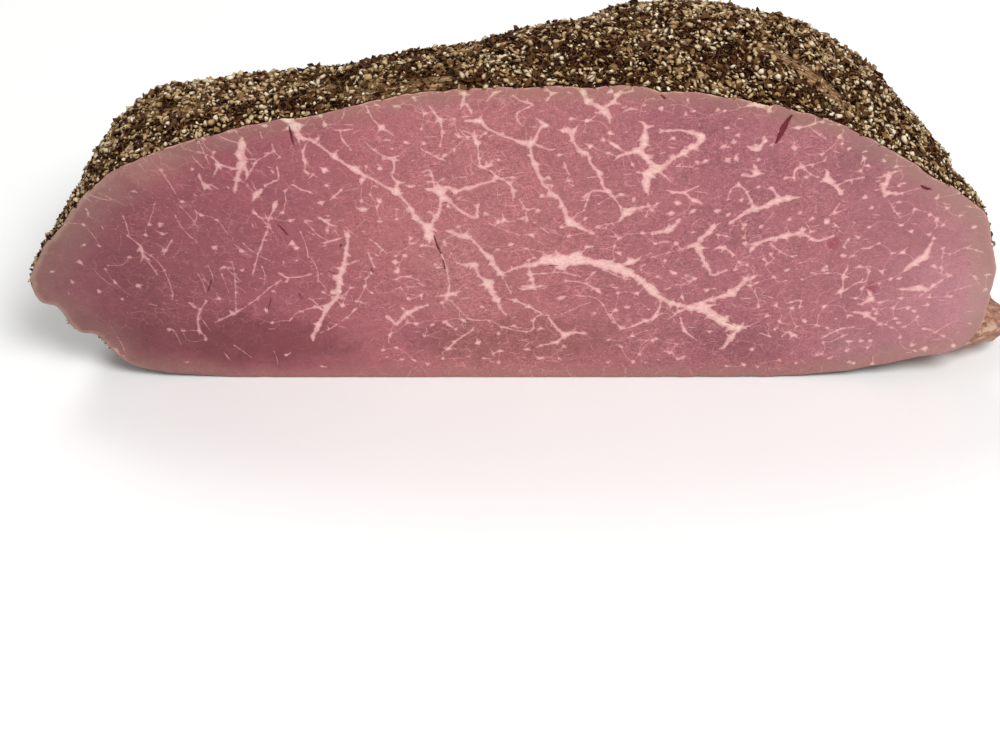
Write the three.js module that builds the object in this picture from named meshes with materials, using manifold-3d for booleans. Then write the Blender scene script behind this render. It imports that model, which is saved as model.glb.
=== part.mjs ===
// Half of a boneless roast of beef, cut across the middle and standing on its
// flat underside. One solid: a straight cut face in front, a domed roasted
// outside behind it, a thin lobe at the left end and a small tail of meat at
// the right end. Millimetres, +X along the cut face, +Y from the cut face to
// the back, +Z up.
import * as THREE from 'three';
import { mergeVertices } from 'three/addons/utils/BufferGeometryUtils.js';
import Module from 'manifold-3d';

// ---- driving dimensions (mm, degrees) --------------------------------------
const LENGTH = 254.0;          // along the cut face, without the tail
const MIDDLE_X = 3.6;          // middle of that length from the cut's plumb line
const BELLY = 0.36;            // height share where the back is deepest
const FOOT = 0.72;             // depth share of the flat underside
const ROUNDNESS_LOW = 2.4;     // exponent of the turn into the underside

// Curves across the roast by angle, which spreads them closer at both ends.
const TOP_AT = [-90, -82, -74, -66, -56, -45, -34, -22, -10, 0, 10, 22, 34, 45, 56, 64, 72, 79, 85, 90];
const TOP = [36, 41.5, 48.6, 56.5, 70.5, 80.6, 87.4, 93.1, 99.5, 100.8, 101.3, 98.6, 93.5, 84.2, 73.2, 67, 59.7, 46.4, 40, 31];
// Below, the left end has a lobe with a notch beside it.
const UNDER_AT = [-90, -86, -81.6, -74.6, -72.2, -69.8, -66.8, -63.1, -60.6, -57.5, -52, -45, -32, 0, 30, 42, 50.7, 56.8, 61.4, 71.9, 76.8, 79.9, 84.8, 90];
const UNDER = [36, 31.5, 28.9, 28, 25.4, 19.6, 17.2, 16.4, 12.2, 7, 3, 0.8, 0, 0, 0, 1.4, 4.2, 6.3, 7.9, 10.3, 13.8, 16.8, 22.5, 31];
const DEPTH_AT = [-90, -82, -74, -66, -56, -45, -38, -30, -22, -14, -6, 2, 10, 18, 26, 34, 42, 50, 58, 66, 74, 82, 90];
const DEPTH = [0, 1.9, 5.6, 20.5, 51, 61.5, 63.4, 59, 57.8, 59.7, 63.6, 70.8, 77.5, 80, 82.6, 78.5, 76, 67.8, 47.5, 26.5, 12, 5.2, 0];
// Exponent of the dome over the top: a low one slopes down sooner behind the edge.
const ROUND_AT = [-90, -50, -32, -10, 5, 20, 90];
const ROUND = [2.2, 2.15, 1.72, 1.7, 1.95, 2.2, 2.2];

// Tail of meat at the right end: a flattened lobe behind the cut edge.
const TAIL = { at: [121, 16, 11], half: [20.5, 13.5, 8], lean: -7, droop: 0.006, round: 28 };

// Swellings of the outside: centre, radius and how far they push.
const SWELLINGS = [
  { at: [-62, 42, 78], radius: [26, 24, 22], push: [0, 0.8, 1.6] },     // shoulder, left
  { at: [64, 40, 92], radius: [24, 22, 20], push: [0, 1.0, 1.6] },      // crown, right
  { at: [18, 52, 60], radius: [16, 22, 30], push: [0, -2.2, -1.0] },    // hollow between them
  { at: [-22, 40, 88], radius: [14, 20, 16], push: [0, 1.2, 1.0] },
  { at: [96, 52, 40], radius: [22, 20, 22], push: [1.0, 1.8, 0] },
  { at: [-96, 40, 34], radius: [18, 20, 18], push: [-1.2, 1.5, 0] },
];
const UNEVEN = 0.7;            // height of the small waves of the outside

// Mesh fineness
const ACROSS = 76;             // stations along the length
const OVER = 22;               // segments of the dome
const TURN = 9;                // segments of the turn into the underside
const FLAT = 4;                // segments of the flat underside
const FACE = 6;                // rows of the cut face

// ---- curves ----------------------------------------------------------------
// Smooth curve through the stations that never overshoots them.
function through(xs, ys) {
  const n = xs.length, h = [], s = [], m = new Array(n).fill(0);
  for (let i = 0; i < n - 1; i++) { h.push(xs[i + 1] - xs[i]); s.push((ys[i + 1] - ys[i]) / h[i]); }
  for (let i = 1; i < n - 1; i++) {
    if (s[i - 1] * s[i] > 0) {
      const a = 2 * h[i] + h[i - 1], b = h[i] + 2 * h[i - 1];
      m[i] = (a + b) / (a / s[i - 1] + b / s[i]);
    }
  }
  m[0] = s[0]; m[n - 1] = s[n - 2];
  return (x) => {
    let k = 0;
    while (k < n - 2 && x > xs[k + 1]) k++;
    const t = (x - xs[k]) / h[k], t2 = t * t, t3 = t2 * t;
    return (2 * t3 - 3 * t2 + 1) * ys[k] + (t3 - 2 * t2 + t) * h[k] * m[k]
         + (-2 * t3 + 3 * t2) * ys[k + 1] + (t3 - t2) * h[k] * m[k + 1];
  };
}
const topAt = through(TOP_AT, TOP);
const underAt = through(UNDER_AT, UNDER);
const depthAt = through(DEPTH_AT, DEPTH);
const roundAt = through(ROUND_AT, ROUND);
const smooth = (a, b, x) => { const t = Math.min(1, Math.max(0, (x - a) / (b - a))); return t * t * (3 - 2 * t); };

// Long, low waves of the roasted outside.
function waves(x, y, z) {
  return Math.sin(0.083 * x + 0.061 * y + 0.4) * Math.sin(0.097 * z - 0.052 * x + 1.1)
       + 0.6 * Math.sin(0.171 * x - 0.13 * z + 2.3) * Math.sin(0.149 * y + 0.118 * z + 0.7);
}

// A point of the outside is moved by the swellings and waves, never on the cut
// edge and never below the underside.
function shaped(x, y, z, low) {
  const back = smooth(0, 7, y), lift = smooth(0.5, 9, z - low);
  let px = x, py = y, pz = z;
  for (const s of SWELLINGS) {
    const d = ((x - s.at[0]) / s.radius[0]) ** 2 + ((y - s.at[1]) / s.radius[1]) ** 2 + ((z - s.at[2]) / s.radius[2]) ** 2;
    const w = Math.exp(-d) * back;
    px += s.push[0] * w; py += s.push[1] * w * lift; pz += s.push[2] * w * lift;
  }
  const w = UNEVEN * waves(x, y, z) * back * lift;
  py += 0.7 * w; pz += w;
  return [px, py, Math.max(0, pz)];
}

// One section of the roast at a station angle: from the top cut edge over the
// back to the underside and forward to the bottom cut edge.
function section(deg) {
  const a = deg * Math.PI / 180;
  const x = MIDDLE_X + LENGTH / 2 * Math.sin(a);
  const top = topAt(deg), low = underAt(deg), depth = depthAt(deg);
  const belly = low + BELLY * (top - low), foot = FOOT * depth, power = 2 / roundAt(deg);
  const pts = [];
  for (let i = 0; i <= OVER; i++) {
    const t = i / OVER * Math.PI / 2;
    pts.push(shaped(x, depth * Math.sin(t) ** power, belly + (top - belly) * Math.max(0, Math.cos(t)) ** power, low));
  }
  for (let i = 1; i <= TURN; i++) {
    const t = i / TURN * Math.PI / 2;
    const y = foot + (depth - foot) * Math.cos(t) ** (2 / ROUNDNESS_LOW);
    const z = i === TURN ? low : belly - (belly - low) * Math.sin(t) ** (2 / ROUNDNESS_LOW);
    pts.push(shaped(x, y, z, low));
  }
  for (let i = 1; i <= FLAT; i++) pts.push(shaped(x, i === FLAT ? 0 : foot * (1 - i / FLAT), low, low));
  for (let i = 1; i < FACE; i++) pts.push([x, 0, low + (top - low) * i / FACE]);
  return pts;
}

// ---- the solid ---------------------------------------------------------------
const positions = [], index = [];
const ring = OVER + TURN + FLAT + FACE;
const poleLeft = [MIDDLE_X - LENGTH / 2, 0, topAt(-90)];
const poleRight = [MIDDLE_X + LENGTH / 2, 0, topAt(90)];
positions.push(poleLeft);
for (let i = 1; i < ACROSS; i++) for (const p of section(-90 + 180 * i / ACROSS)) positions.push(p);
positions.push(poleRight);
const at = (i, j) => 1 + (i - 1) * ring + (j % ring);
const last = positions.length - 1;
for (let j = 0; j < ring; j++) {
  index.push(0, at(1, j), at(1, j + 1));
  index.push(last, at(ACROSS - 1, j + 1), at(ACROSS - 1, j));
  for (let i = 1; i < ACROSS - 1; i++) {
    index.push(at(i, j), at(i + 1, j), at(i + 1, j + 1));
    index.push(at(i, j), at(i + 1, j + 1), at(i, j + 1));
  }
}

const body = new THREE.BufferGeometry();
body.setAttribute('position', new THREE.BufferAttribute(new Float32Array(positions.flat()), 3));
body.setIndex(index);

// The tail: a sphere flattened, leaned outward and drooping at its tip.
function tail() {
  const g = new THREE.SphereGeometry(1, TAIL.round, Math.round(TAIL.round / 2));
  g.deleteAttribute('normal'); g.deleteAttribute('uv');
  const p = g.attributes.position, lean = TAIL.lean * Math.PI / 180;
  for (let i = 0; i < p.count; i++) {
    const x = p.getX(i) * TAIL.half[0], y = p.getY(i) * TAIL.half[1] * (1 - 0.25 * p.getX(i));
    const z = p.getZ(i) * TAIL.half[2] * (1 - 0.2 * p.getX(i)) - TAIL.droop * Math.max(0, x) ** 2;
    p.setXYZ(i, TAIL.at[0] + x * Math.cos(lean) - y * Math.sin(lean),
      TAIL.at[1] + x * Math.sin(lean) + y * Math.cos(lean), TAIL.at[2] + z);
  }
  return mergeVertices(g, 1e-3);
}

const wasm = await Module();
wasm.setup();
function solid(g) {
  return new wasm.Manifold(new wasm.Mesh({
    numProp: 3,
    vertProperties: new Float32Array(g.attributes.position.array),
    triVerts: new Uint32Array(g.index.array),
  }));
}
const whole = solid(body).add(solid(tail())).getMesh();

const geometry = new THREE.BufferGeometry();
geometry.setAttribute('position', new THREE.BufferAttribute(new Float32Array(whole.vertProperties), 3));
geometry.setIndex(new THREE.BufferAttribute(new Uint32Array(whole.triVerts), 1));
geometry.computeVertexNormals();

// The origin is under the middle of the whole piece.
geometry.computeBoundingBox();
const box = geometry.boundingBox;
const midX = (box.min.x + box.max.x) / 2, midY = (box.min.y + box.max.y) / 2;

const meat = new THREE.MeshStandardMaterial({ color: 0xb5757a, roughness: 0.55, metalness: 0 });
const roast = new THREE.Mesh(geometry, meat);
roast.name = 'roast_beef';
roast.position.set(-midX, -midY, 0);

const group = new THREE.Group();
group.name = 'roast';
group.add(roast);
export default group;
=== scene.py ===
"""The looks of half a roast of beef, cut across the middle: a marbled cut face, a
browned outside rolled in cracked pepper, and a small tail of meat at one end.

Lengths here are millimetres in the roast's own frame: the cut face is y = 0,
x runs along it, z = 0 is what the roast stands on. They become metres in the
shared frame when the meshes are made.
"""
import math

import bpy
import numpy as np
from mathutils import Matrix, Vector
from mathutils.geometry import delaunay_2d_cdt


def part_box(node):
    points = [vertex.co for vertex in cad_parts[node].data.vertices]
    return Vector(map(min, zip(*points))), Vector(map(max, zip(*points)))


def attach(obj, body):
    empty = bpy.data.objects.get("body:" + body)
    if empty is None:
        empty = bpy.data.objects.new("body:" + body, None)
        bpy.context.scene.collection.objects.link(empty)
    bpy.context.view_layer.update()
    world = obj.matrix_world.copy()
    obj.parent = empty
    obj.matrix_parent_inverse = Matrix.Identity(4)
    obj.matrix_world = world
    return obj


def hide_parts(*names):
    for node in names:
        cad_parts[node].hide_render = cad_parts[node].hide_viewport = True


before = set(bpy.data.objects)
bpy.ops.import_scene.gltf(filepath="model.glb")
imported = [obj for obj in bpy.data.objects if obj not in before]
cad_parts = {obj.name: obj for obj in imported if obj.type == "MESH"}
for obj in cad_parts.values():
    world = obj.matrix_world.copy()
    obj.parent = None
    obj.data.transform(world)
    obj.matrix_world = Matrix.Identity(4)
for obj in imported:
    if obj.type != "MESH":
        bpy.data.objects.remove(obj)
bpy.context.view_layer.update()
_lo, _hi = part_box("roast_beef")
OFFSET = np.array([_lo.x * 1000 + 123.4, _lo.y * 1000, 0.0])   # own frame to shared frame, mm

# ---- camera ------------------------------------------------------------------
ELEVATION = math.radians(46.0)
DISTANCE, TARGET_Z, LENS = 550.0, 5.14, 72.0
PIXELS = 1000 * LENS / 36.0
FWD = np.array([0, math.cos(ELEVATION), -math.sin(ELEVATION)])
UP = np.array([0, math.sin(ELEVATION), math.cos(ELEVATION)])
EYE = np.array([0, 0, TARGET_Z]) - FWD * DISTANCE


def to_pixel(p):
    """Where a point of the roast shows in the 1000 x 730 frame."""
    q = np.asarray(p, float) - EYE
    d = q @ FWD
    return 500 + PIXELS * q[..., 0] / d, 365 - PIXELS * (q @ UP) / d


def on_face(u, v):
    """x and z on the cut face of a place in the 1000 x 730 frame, and mm per pixel there."""
    d = FWD[:, None] + np.array([1.0, 0, 0])[:, None] * (np.atleast_1d(u) - 500) / PIXELS + UP[:, None] * (365 - np.atleast_1d(v)) / PIXELS
    t = -EYE[1] / d[1]
    return EYE[0] + t * d[0], EYE[2] + t * d[2], t / PIXELS


# ---- small tools ---------------------------------------------------------------
def smooth(a, b, x):
    t = np.clip((np.asarray(x, float) - a) / (b - a), 0, 1)
    return t * t * (3 - 2 * t)


def _hash(i, j, k, seed):
    h = (i * 374761393 + j * 668265263 + k * 1103515245 + seed * 97531) & 0xFFFFFFFF
    h = ((h ^ (h >> 13)) * 1274126177) & 0xFFFFFFFF
    h = ((h ^ (h >> 15)) * 2246822519) & 0xFFFFFFFF
    return ((h ^ (h >> 16)) & 0xFFFFF) / 524287.5 - 1.0


def noise(p, size, seed=1):
    """Smooth noise from -1 to 1, with lumps about size wide."""
    q = np.asarray(p, float) / size
    i = np.floor(q).astype(np.int64)
    f = q - i
    f = f * f * f * (f * (f * 6 - 15) + 10)
    out = 0.0
    for a in (0, 1):
        for b in (0, 1):
            for c in (0, 1):
                w = (f[..., 0] if a else 1 - f[..., 0]) * (f[..., 1] if b else 1 - f[..., 1]) * (f[..., 2] if c else 1 - f[..., 2])
                out = out + w * _hash(i[..., 0] + a, i[..., 1] + b, i[..., 2] + c, seed)
    return out


def through(xs, ys):
    """Smooth curve through the stations that never overshoots them."""
    xs, ys = np.array(xs, float), np.array(ys, float)
    h = np.diff(xs)
    s = np.diff(ys) / h
    m = np.zeros(len(xs))
    for i in range(1, len(xs) - 1):
        if s[i - 1] * s[i] > 0:
            a, b = 2 * h[i] + h[i - 1], h[i] + 2 * h[i - 1]
            m[i] = (a + b) / (a / s[i - 1] + b / s[i])
    m[0], m[-1] = s[0], s[-1]

    def f(x):
        x = np.asarray(x, float)
        k = np.clip(np.searchsorted(xs, x) - 1, 0, len(xs) - 2)
        t = (x - xs[k]) / h[k]
        return (2 * t**3 - 3 * t**2 + 1) * ys[k] + (t**3 - 2 * t**2 + t) * h[k] * m[k] + (-2 * t**3 + 3 * t**2) * ys[k + 1] + (t**3 - t**2) * h[k] * m[k + 1]

    return f


# ---- the roast's outside ---------------------------------------------------------
LENGTH, MIDDLE_X, BELLY, FOOT, ROUNDNESS_LOW = 254.0, 3.6, 0.36, 0.72, 2.4
TOP_AT = [-90, -82, -74, -66, -56, -45, -34, -22, -10, 0, 10, 22, 34, 45, 56, 64, 72, 79, 85, 90]
TOP = [36, 41.5, 48.6, 56.5, 70.5, 80.6, 87.4, 93.1, 99.5, 100.8, 101.3, 98.6, 93.5, 84.2, 73.2, 67, 59.7, 46.4, 40, 31]
UNDER_AT = [-90, -86, -81.6, -74.6, -72.2, -69.8, -66.8, -63.1, -60.6, -57.5, -52, -45, -32, 0, 30, 42, 50.7, 56.8, 61.4, 71.9, 76.8, 79.9, 84.8, 90]
UNDER = [36, 31.5, 28.9, 28, 25.4, 19.6, 17.2, 16.4, 12.2, 7, 3, 0.8, 0, 0, 0, 1.4, 4.2, 6.3, 7.9, 10.3, 13.8, 16.8, 22.5, 31]
DEPTH_AT = [-90, -82, -74, -66, -56, -45, -38, -30, -22, -14, -6, 2, 10, 18, 26, 34, 42, 50, 58, 66, 74, 82, 90]
DEPTH = [0, 1.9, 5.6, 20.5, 51, 61.5, 63.4, 59, 57.8, 59.7, 63.6, 70.8, 77.5, 80, 82.6, 78.5, 76, 67.8, 47.5, 26.5, 12, 5.2, 0]
ROUND_AT = [-90, -50, -32, -10, 5, 20, 90]
ROUND = [2.2, 2.15, 1.72, 1.7, 1.95, 2.2, 2.2]
SWELLINGS = [
    ((-62, 42, 78), (26, 24, 22), (0, 0.8, 1.6)),
    ((64, 40, 92), (24, 22, 20), (0, 1.0, 1.6)),
    ((18, 52, 60), (16, 22, 30), (0, -2.2, -1.0)),
    ((-22, 40, 88), (14, 20, 16), (0, 1.2, 1.0)),
    ((96, 52, 40), (22, 20, 22), (1.0, 1.8, 0)),
    ((-96, 40, 34), (18, 20, 18), (-1.2, 1.5, 0)),
]
UNEVEN = 0.7
BEVEL = 0.28          # the cut edge is rounded off by this much
top_at, under_at, depth_at, round_at = through(TOP_AT, TOP), through(UNDER_AT, UNDER), through(DEPTH_AT, DEPTH), through(ROUND_AT, ROUND)


def waves(x, y, z):
    return np.sin(0.083 * x + 0.061 * y + 0.4) * np.sin(0.097 * z - 0.052 * x + 1.1) + 0.6 * np.sin(0.171 * x - 0.13 * z + 2.3) * np.sin(0.149 * y + 0.118 * z + 0.7)


def shaped(x, y, z, low):
    back, lift = smooth(0, 7, y), smooth(0.5, 9, z - low)
    px, py, pz = x.copy(), y.copy(), z.copy()
    for at, radius, push in SWELLINGS:
        w = np.exp(-(((x - at[0]) / radius[0]) ** 2 + ((y - at[1]) / radius[1]) ** 2 + ((z - at[2]) / radius[2]) ** 2)) * back
        px += push[0] * w
        py += push[1] * w * lift
        pz += push[2] * w * lift
    w = UNEVEN * waves(x, y, z) * back * lift
    return np.stack([px, py + 0.7 * w, np.maximum(0, pz + w)], -1)


STATIONS, OVER, TURN, FLAT = 320, 54, 14, 12


def shell():
    """Rows of points from the top cut edge over the back to the bottom cut edge, one row for each station."""
    deg = -90 + 180 * np.arange(1, STATIONS) / STATIONS
    x = MIDDLE_X + LENGTH / 2 * np.sin(np.radians(deg))
    top, low, depth = top_at(deg), under_at(deg), depth_at(deg)
    belly, foot, power = low + BELLY * (top - low), FOOT * depth, 2 / round_at(deg)
    rows = []
    for i in range(OVER + 1):
        t = i / OVER * math.pi / 2
        rows.append(shaped(x, depth * math.sin(t) ** power, belly + (top - belly) * max(math.cos(t), 0) ** power, low))
    for i in range(1, TURN + 1):
        t = i / TURN * math.pi / 2
        z = low + 0 * x if i == TURN else belly - (belly - low) * math.sin(t) ** (2 / ROUNDNESS_LOW)
        rows.append(shaped(x, foot + (depth - foot) * max(math.cos(t), 0) ** (2 / ROUNDNESS_LOW), z, low))
    for i in range(1, FLAT + 1):
        rows.append(shaped(x, foot * (1 - i / FLAT), low + 0 * x, low))
    p = np.stack(rows, 1)
    ends = np.array([[MIDDLE_X - LENGTH / 2, 0, top_at(-90)], [MIDDLE_X + LENGTH / 2, 0, top_at(90)]])
    return p, ends, deg


def grid_normals(p):
    du = np.gradient(p, axis=0)
    dv = np.gradient(p, axis=1)
    n = np.cross(dv, du)
    return n / np.maximum(np.linalg.norm(n, axis=-1, keepdims=True), 1e-9)


P, ENDS, DEG = shell()
N = grid_normals(P)
ROWS = P.shape[1]
_mid = P[:, OVER // 2].mean(0)
if ((P - np.array([MIDDLE_X, 25, 40])) * N).sum(-1).mean() < 0:
    N = -N


# Along the underside the skin only moves up, so that the roast still lies flat.
def rough_skin(p, n):
    a = 0.62 * noise(p, 11, 3) + 0.42 * noise(p, 4.6, 4) + 0.2 * noise(p, 2.3, 5)
    near_cut = smooth(0, 5, p[..., 1])
    d = n * (a * (0.6 + 0.4 * near_cut))[..., None]
    d[..., 1] *= near_cut
    q = p + d
    grounded = smooth(3.0, 0.2, p[..., 2])
    q[..., 2] = np.where(p[..., 2] < 3.0, np.maximum(q[..., 2], p[..., 2] * grounded), q[..., 2])
    q[..., 2] = np.maximum(q[..., 2], 0.0)
    return q


P = rough_skin(P, N)
_depth = np.maximum(depth_at(DEG), 1.0)[:, None]
P[..., 1] = np.maximum(P[..., 1], 0) * (1 - BEVEL / _depth * 0.6) + BEVEL
ENDS[:, 1] = BEVEL
N = grid_normals(P)
if ((P - np.array([MIDDLE_X, 25, 40])) * N).sum(-1).mean() < 0:
    N = -N

# the upper cut edge is a little uneven, with one dip beside a pit
_e = P[:, 0]
_dip = -1.0 * np.exp(-(((_e[:, 0] - 38.5) / 2.4) ** 2))
_lift = 0.30 * noise(_e, 3.4, 6) + 0.22 * noise(_e, 1.6, 7) + _dip
_fade = np.interp(np.arange(ROWS), [0, 6, 14], [1, 0.7, 0])
_away = smooth(-90, -82, DEG) * smooth(90, 80, DEG)
P[..., 2] += (_lift * _away)[:, None] * _fade[None]
N = grid_normals(P)
if ((P - np.array([MIDDLE_X, 25, 40])) * N).sum(-1).mean() < 0:
    N = -N

# outline of the cut face, counterclockwise seen from the front: bottom edge left to right, top edge back
BOTTOM, UPPER = P[:, -1], P[:, 0]
outline = np.concatenate([ENDS[:1], BOTTOM, ENDS[1:], UPPER[::-1]])[:, [0, 2]]
n_out = len(outline)


def outline_distance(q, chunk=4000):
    """Distance to the outline, and the place along it, for each of many points."""
    a = outline
    b = np.roll(outline, -1, 0)
    ab = b - a
    l2 = np.maximum((ab**2).sum(1), 1e-9)
    d, k = np.empty(len(q)), np.empty(len(q), int)
    for s in range(0, len(q), chunk):
        ap = q[s:s + chunk, None] - a[None]
        t = np.clip((ap * ab).sum(-1) / l2, 0, 1)
        e = ((ap - t[..., None] * ab) ** 2).sum(-1)
        k[s:s + chunk] = e.argmin(1)
        d[s:s + chunk] = np.sqrt(e.min(1))
    return d, k


def inside(q, chunk=6000):
    a, b = outline, np.roll(outline, -1, 0)
    r = np.empty(len(q), bool)
    for s in range(0, len(q), chunk):
        x, z = q[s:s + chunk, 0][:, None], q[s:s + chunk, 1][:, None]
        hit = (a[:, 1] > z) != (b[:, 1] > z)
        xi = a[:, 0] + (z - a[:, 1]) / np.where(np.abs(b[:, 1] - a[:, 1]) < 1e-12, 1e-12, b[:, 1] - a[:, 1]) * (b[:, 0] - a[:, 0])
        r[s:s + chunk] = ((hit & (x < xi)).sum(1) % 2).astype(bool)
    return r


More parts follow.
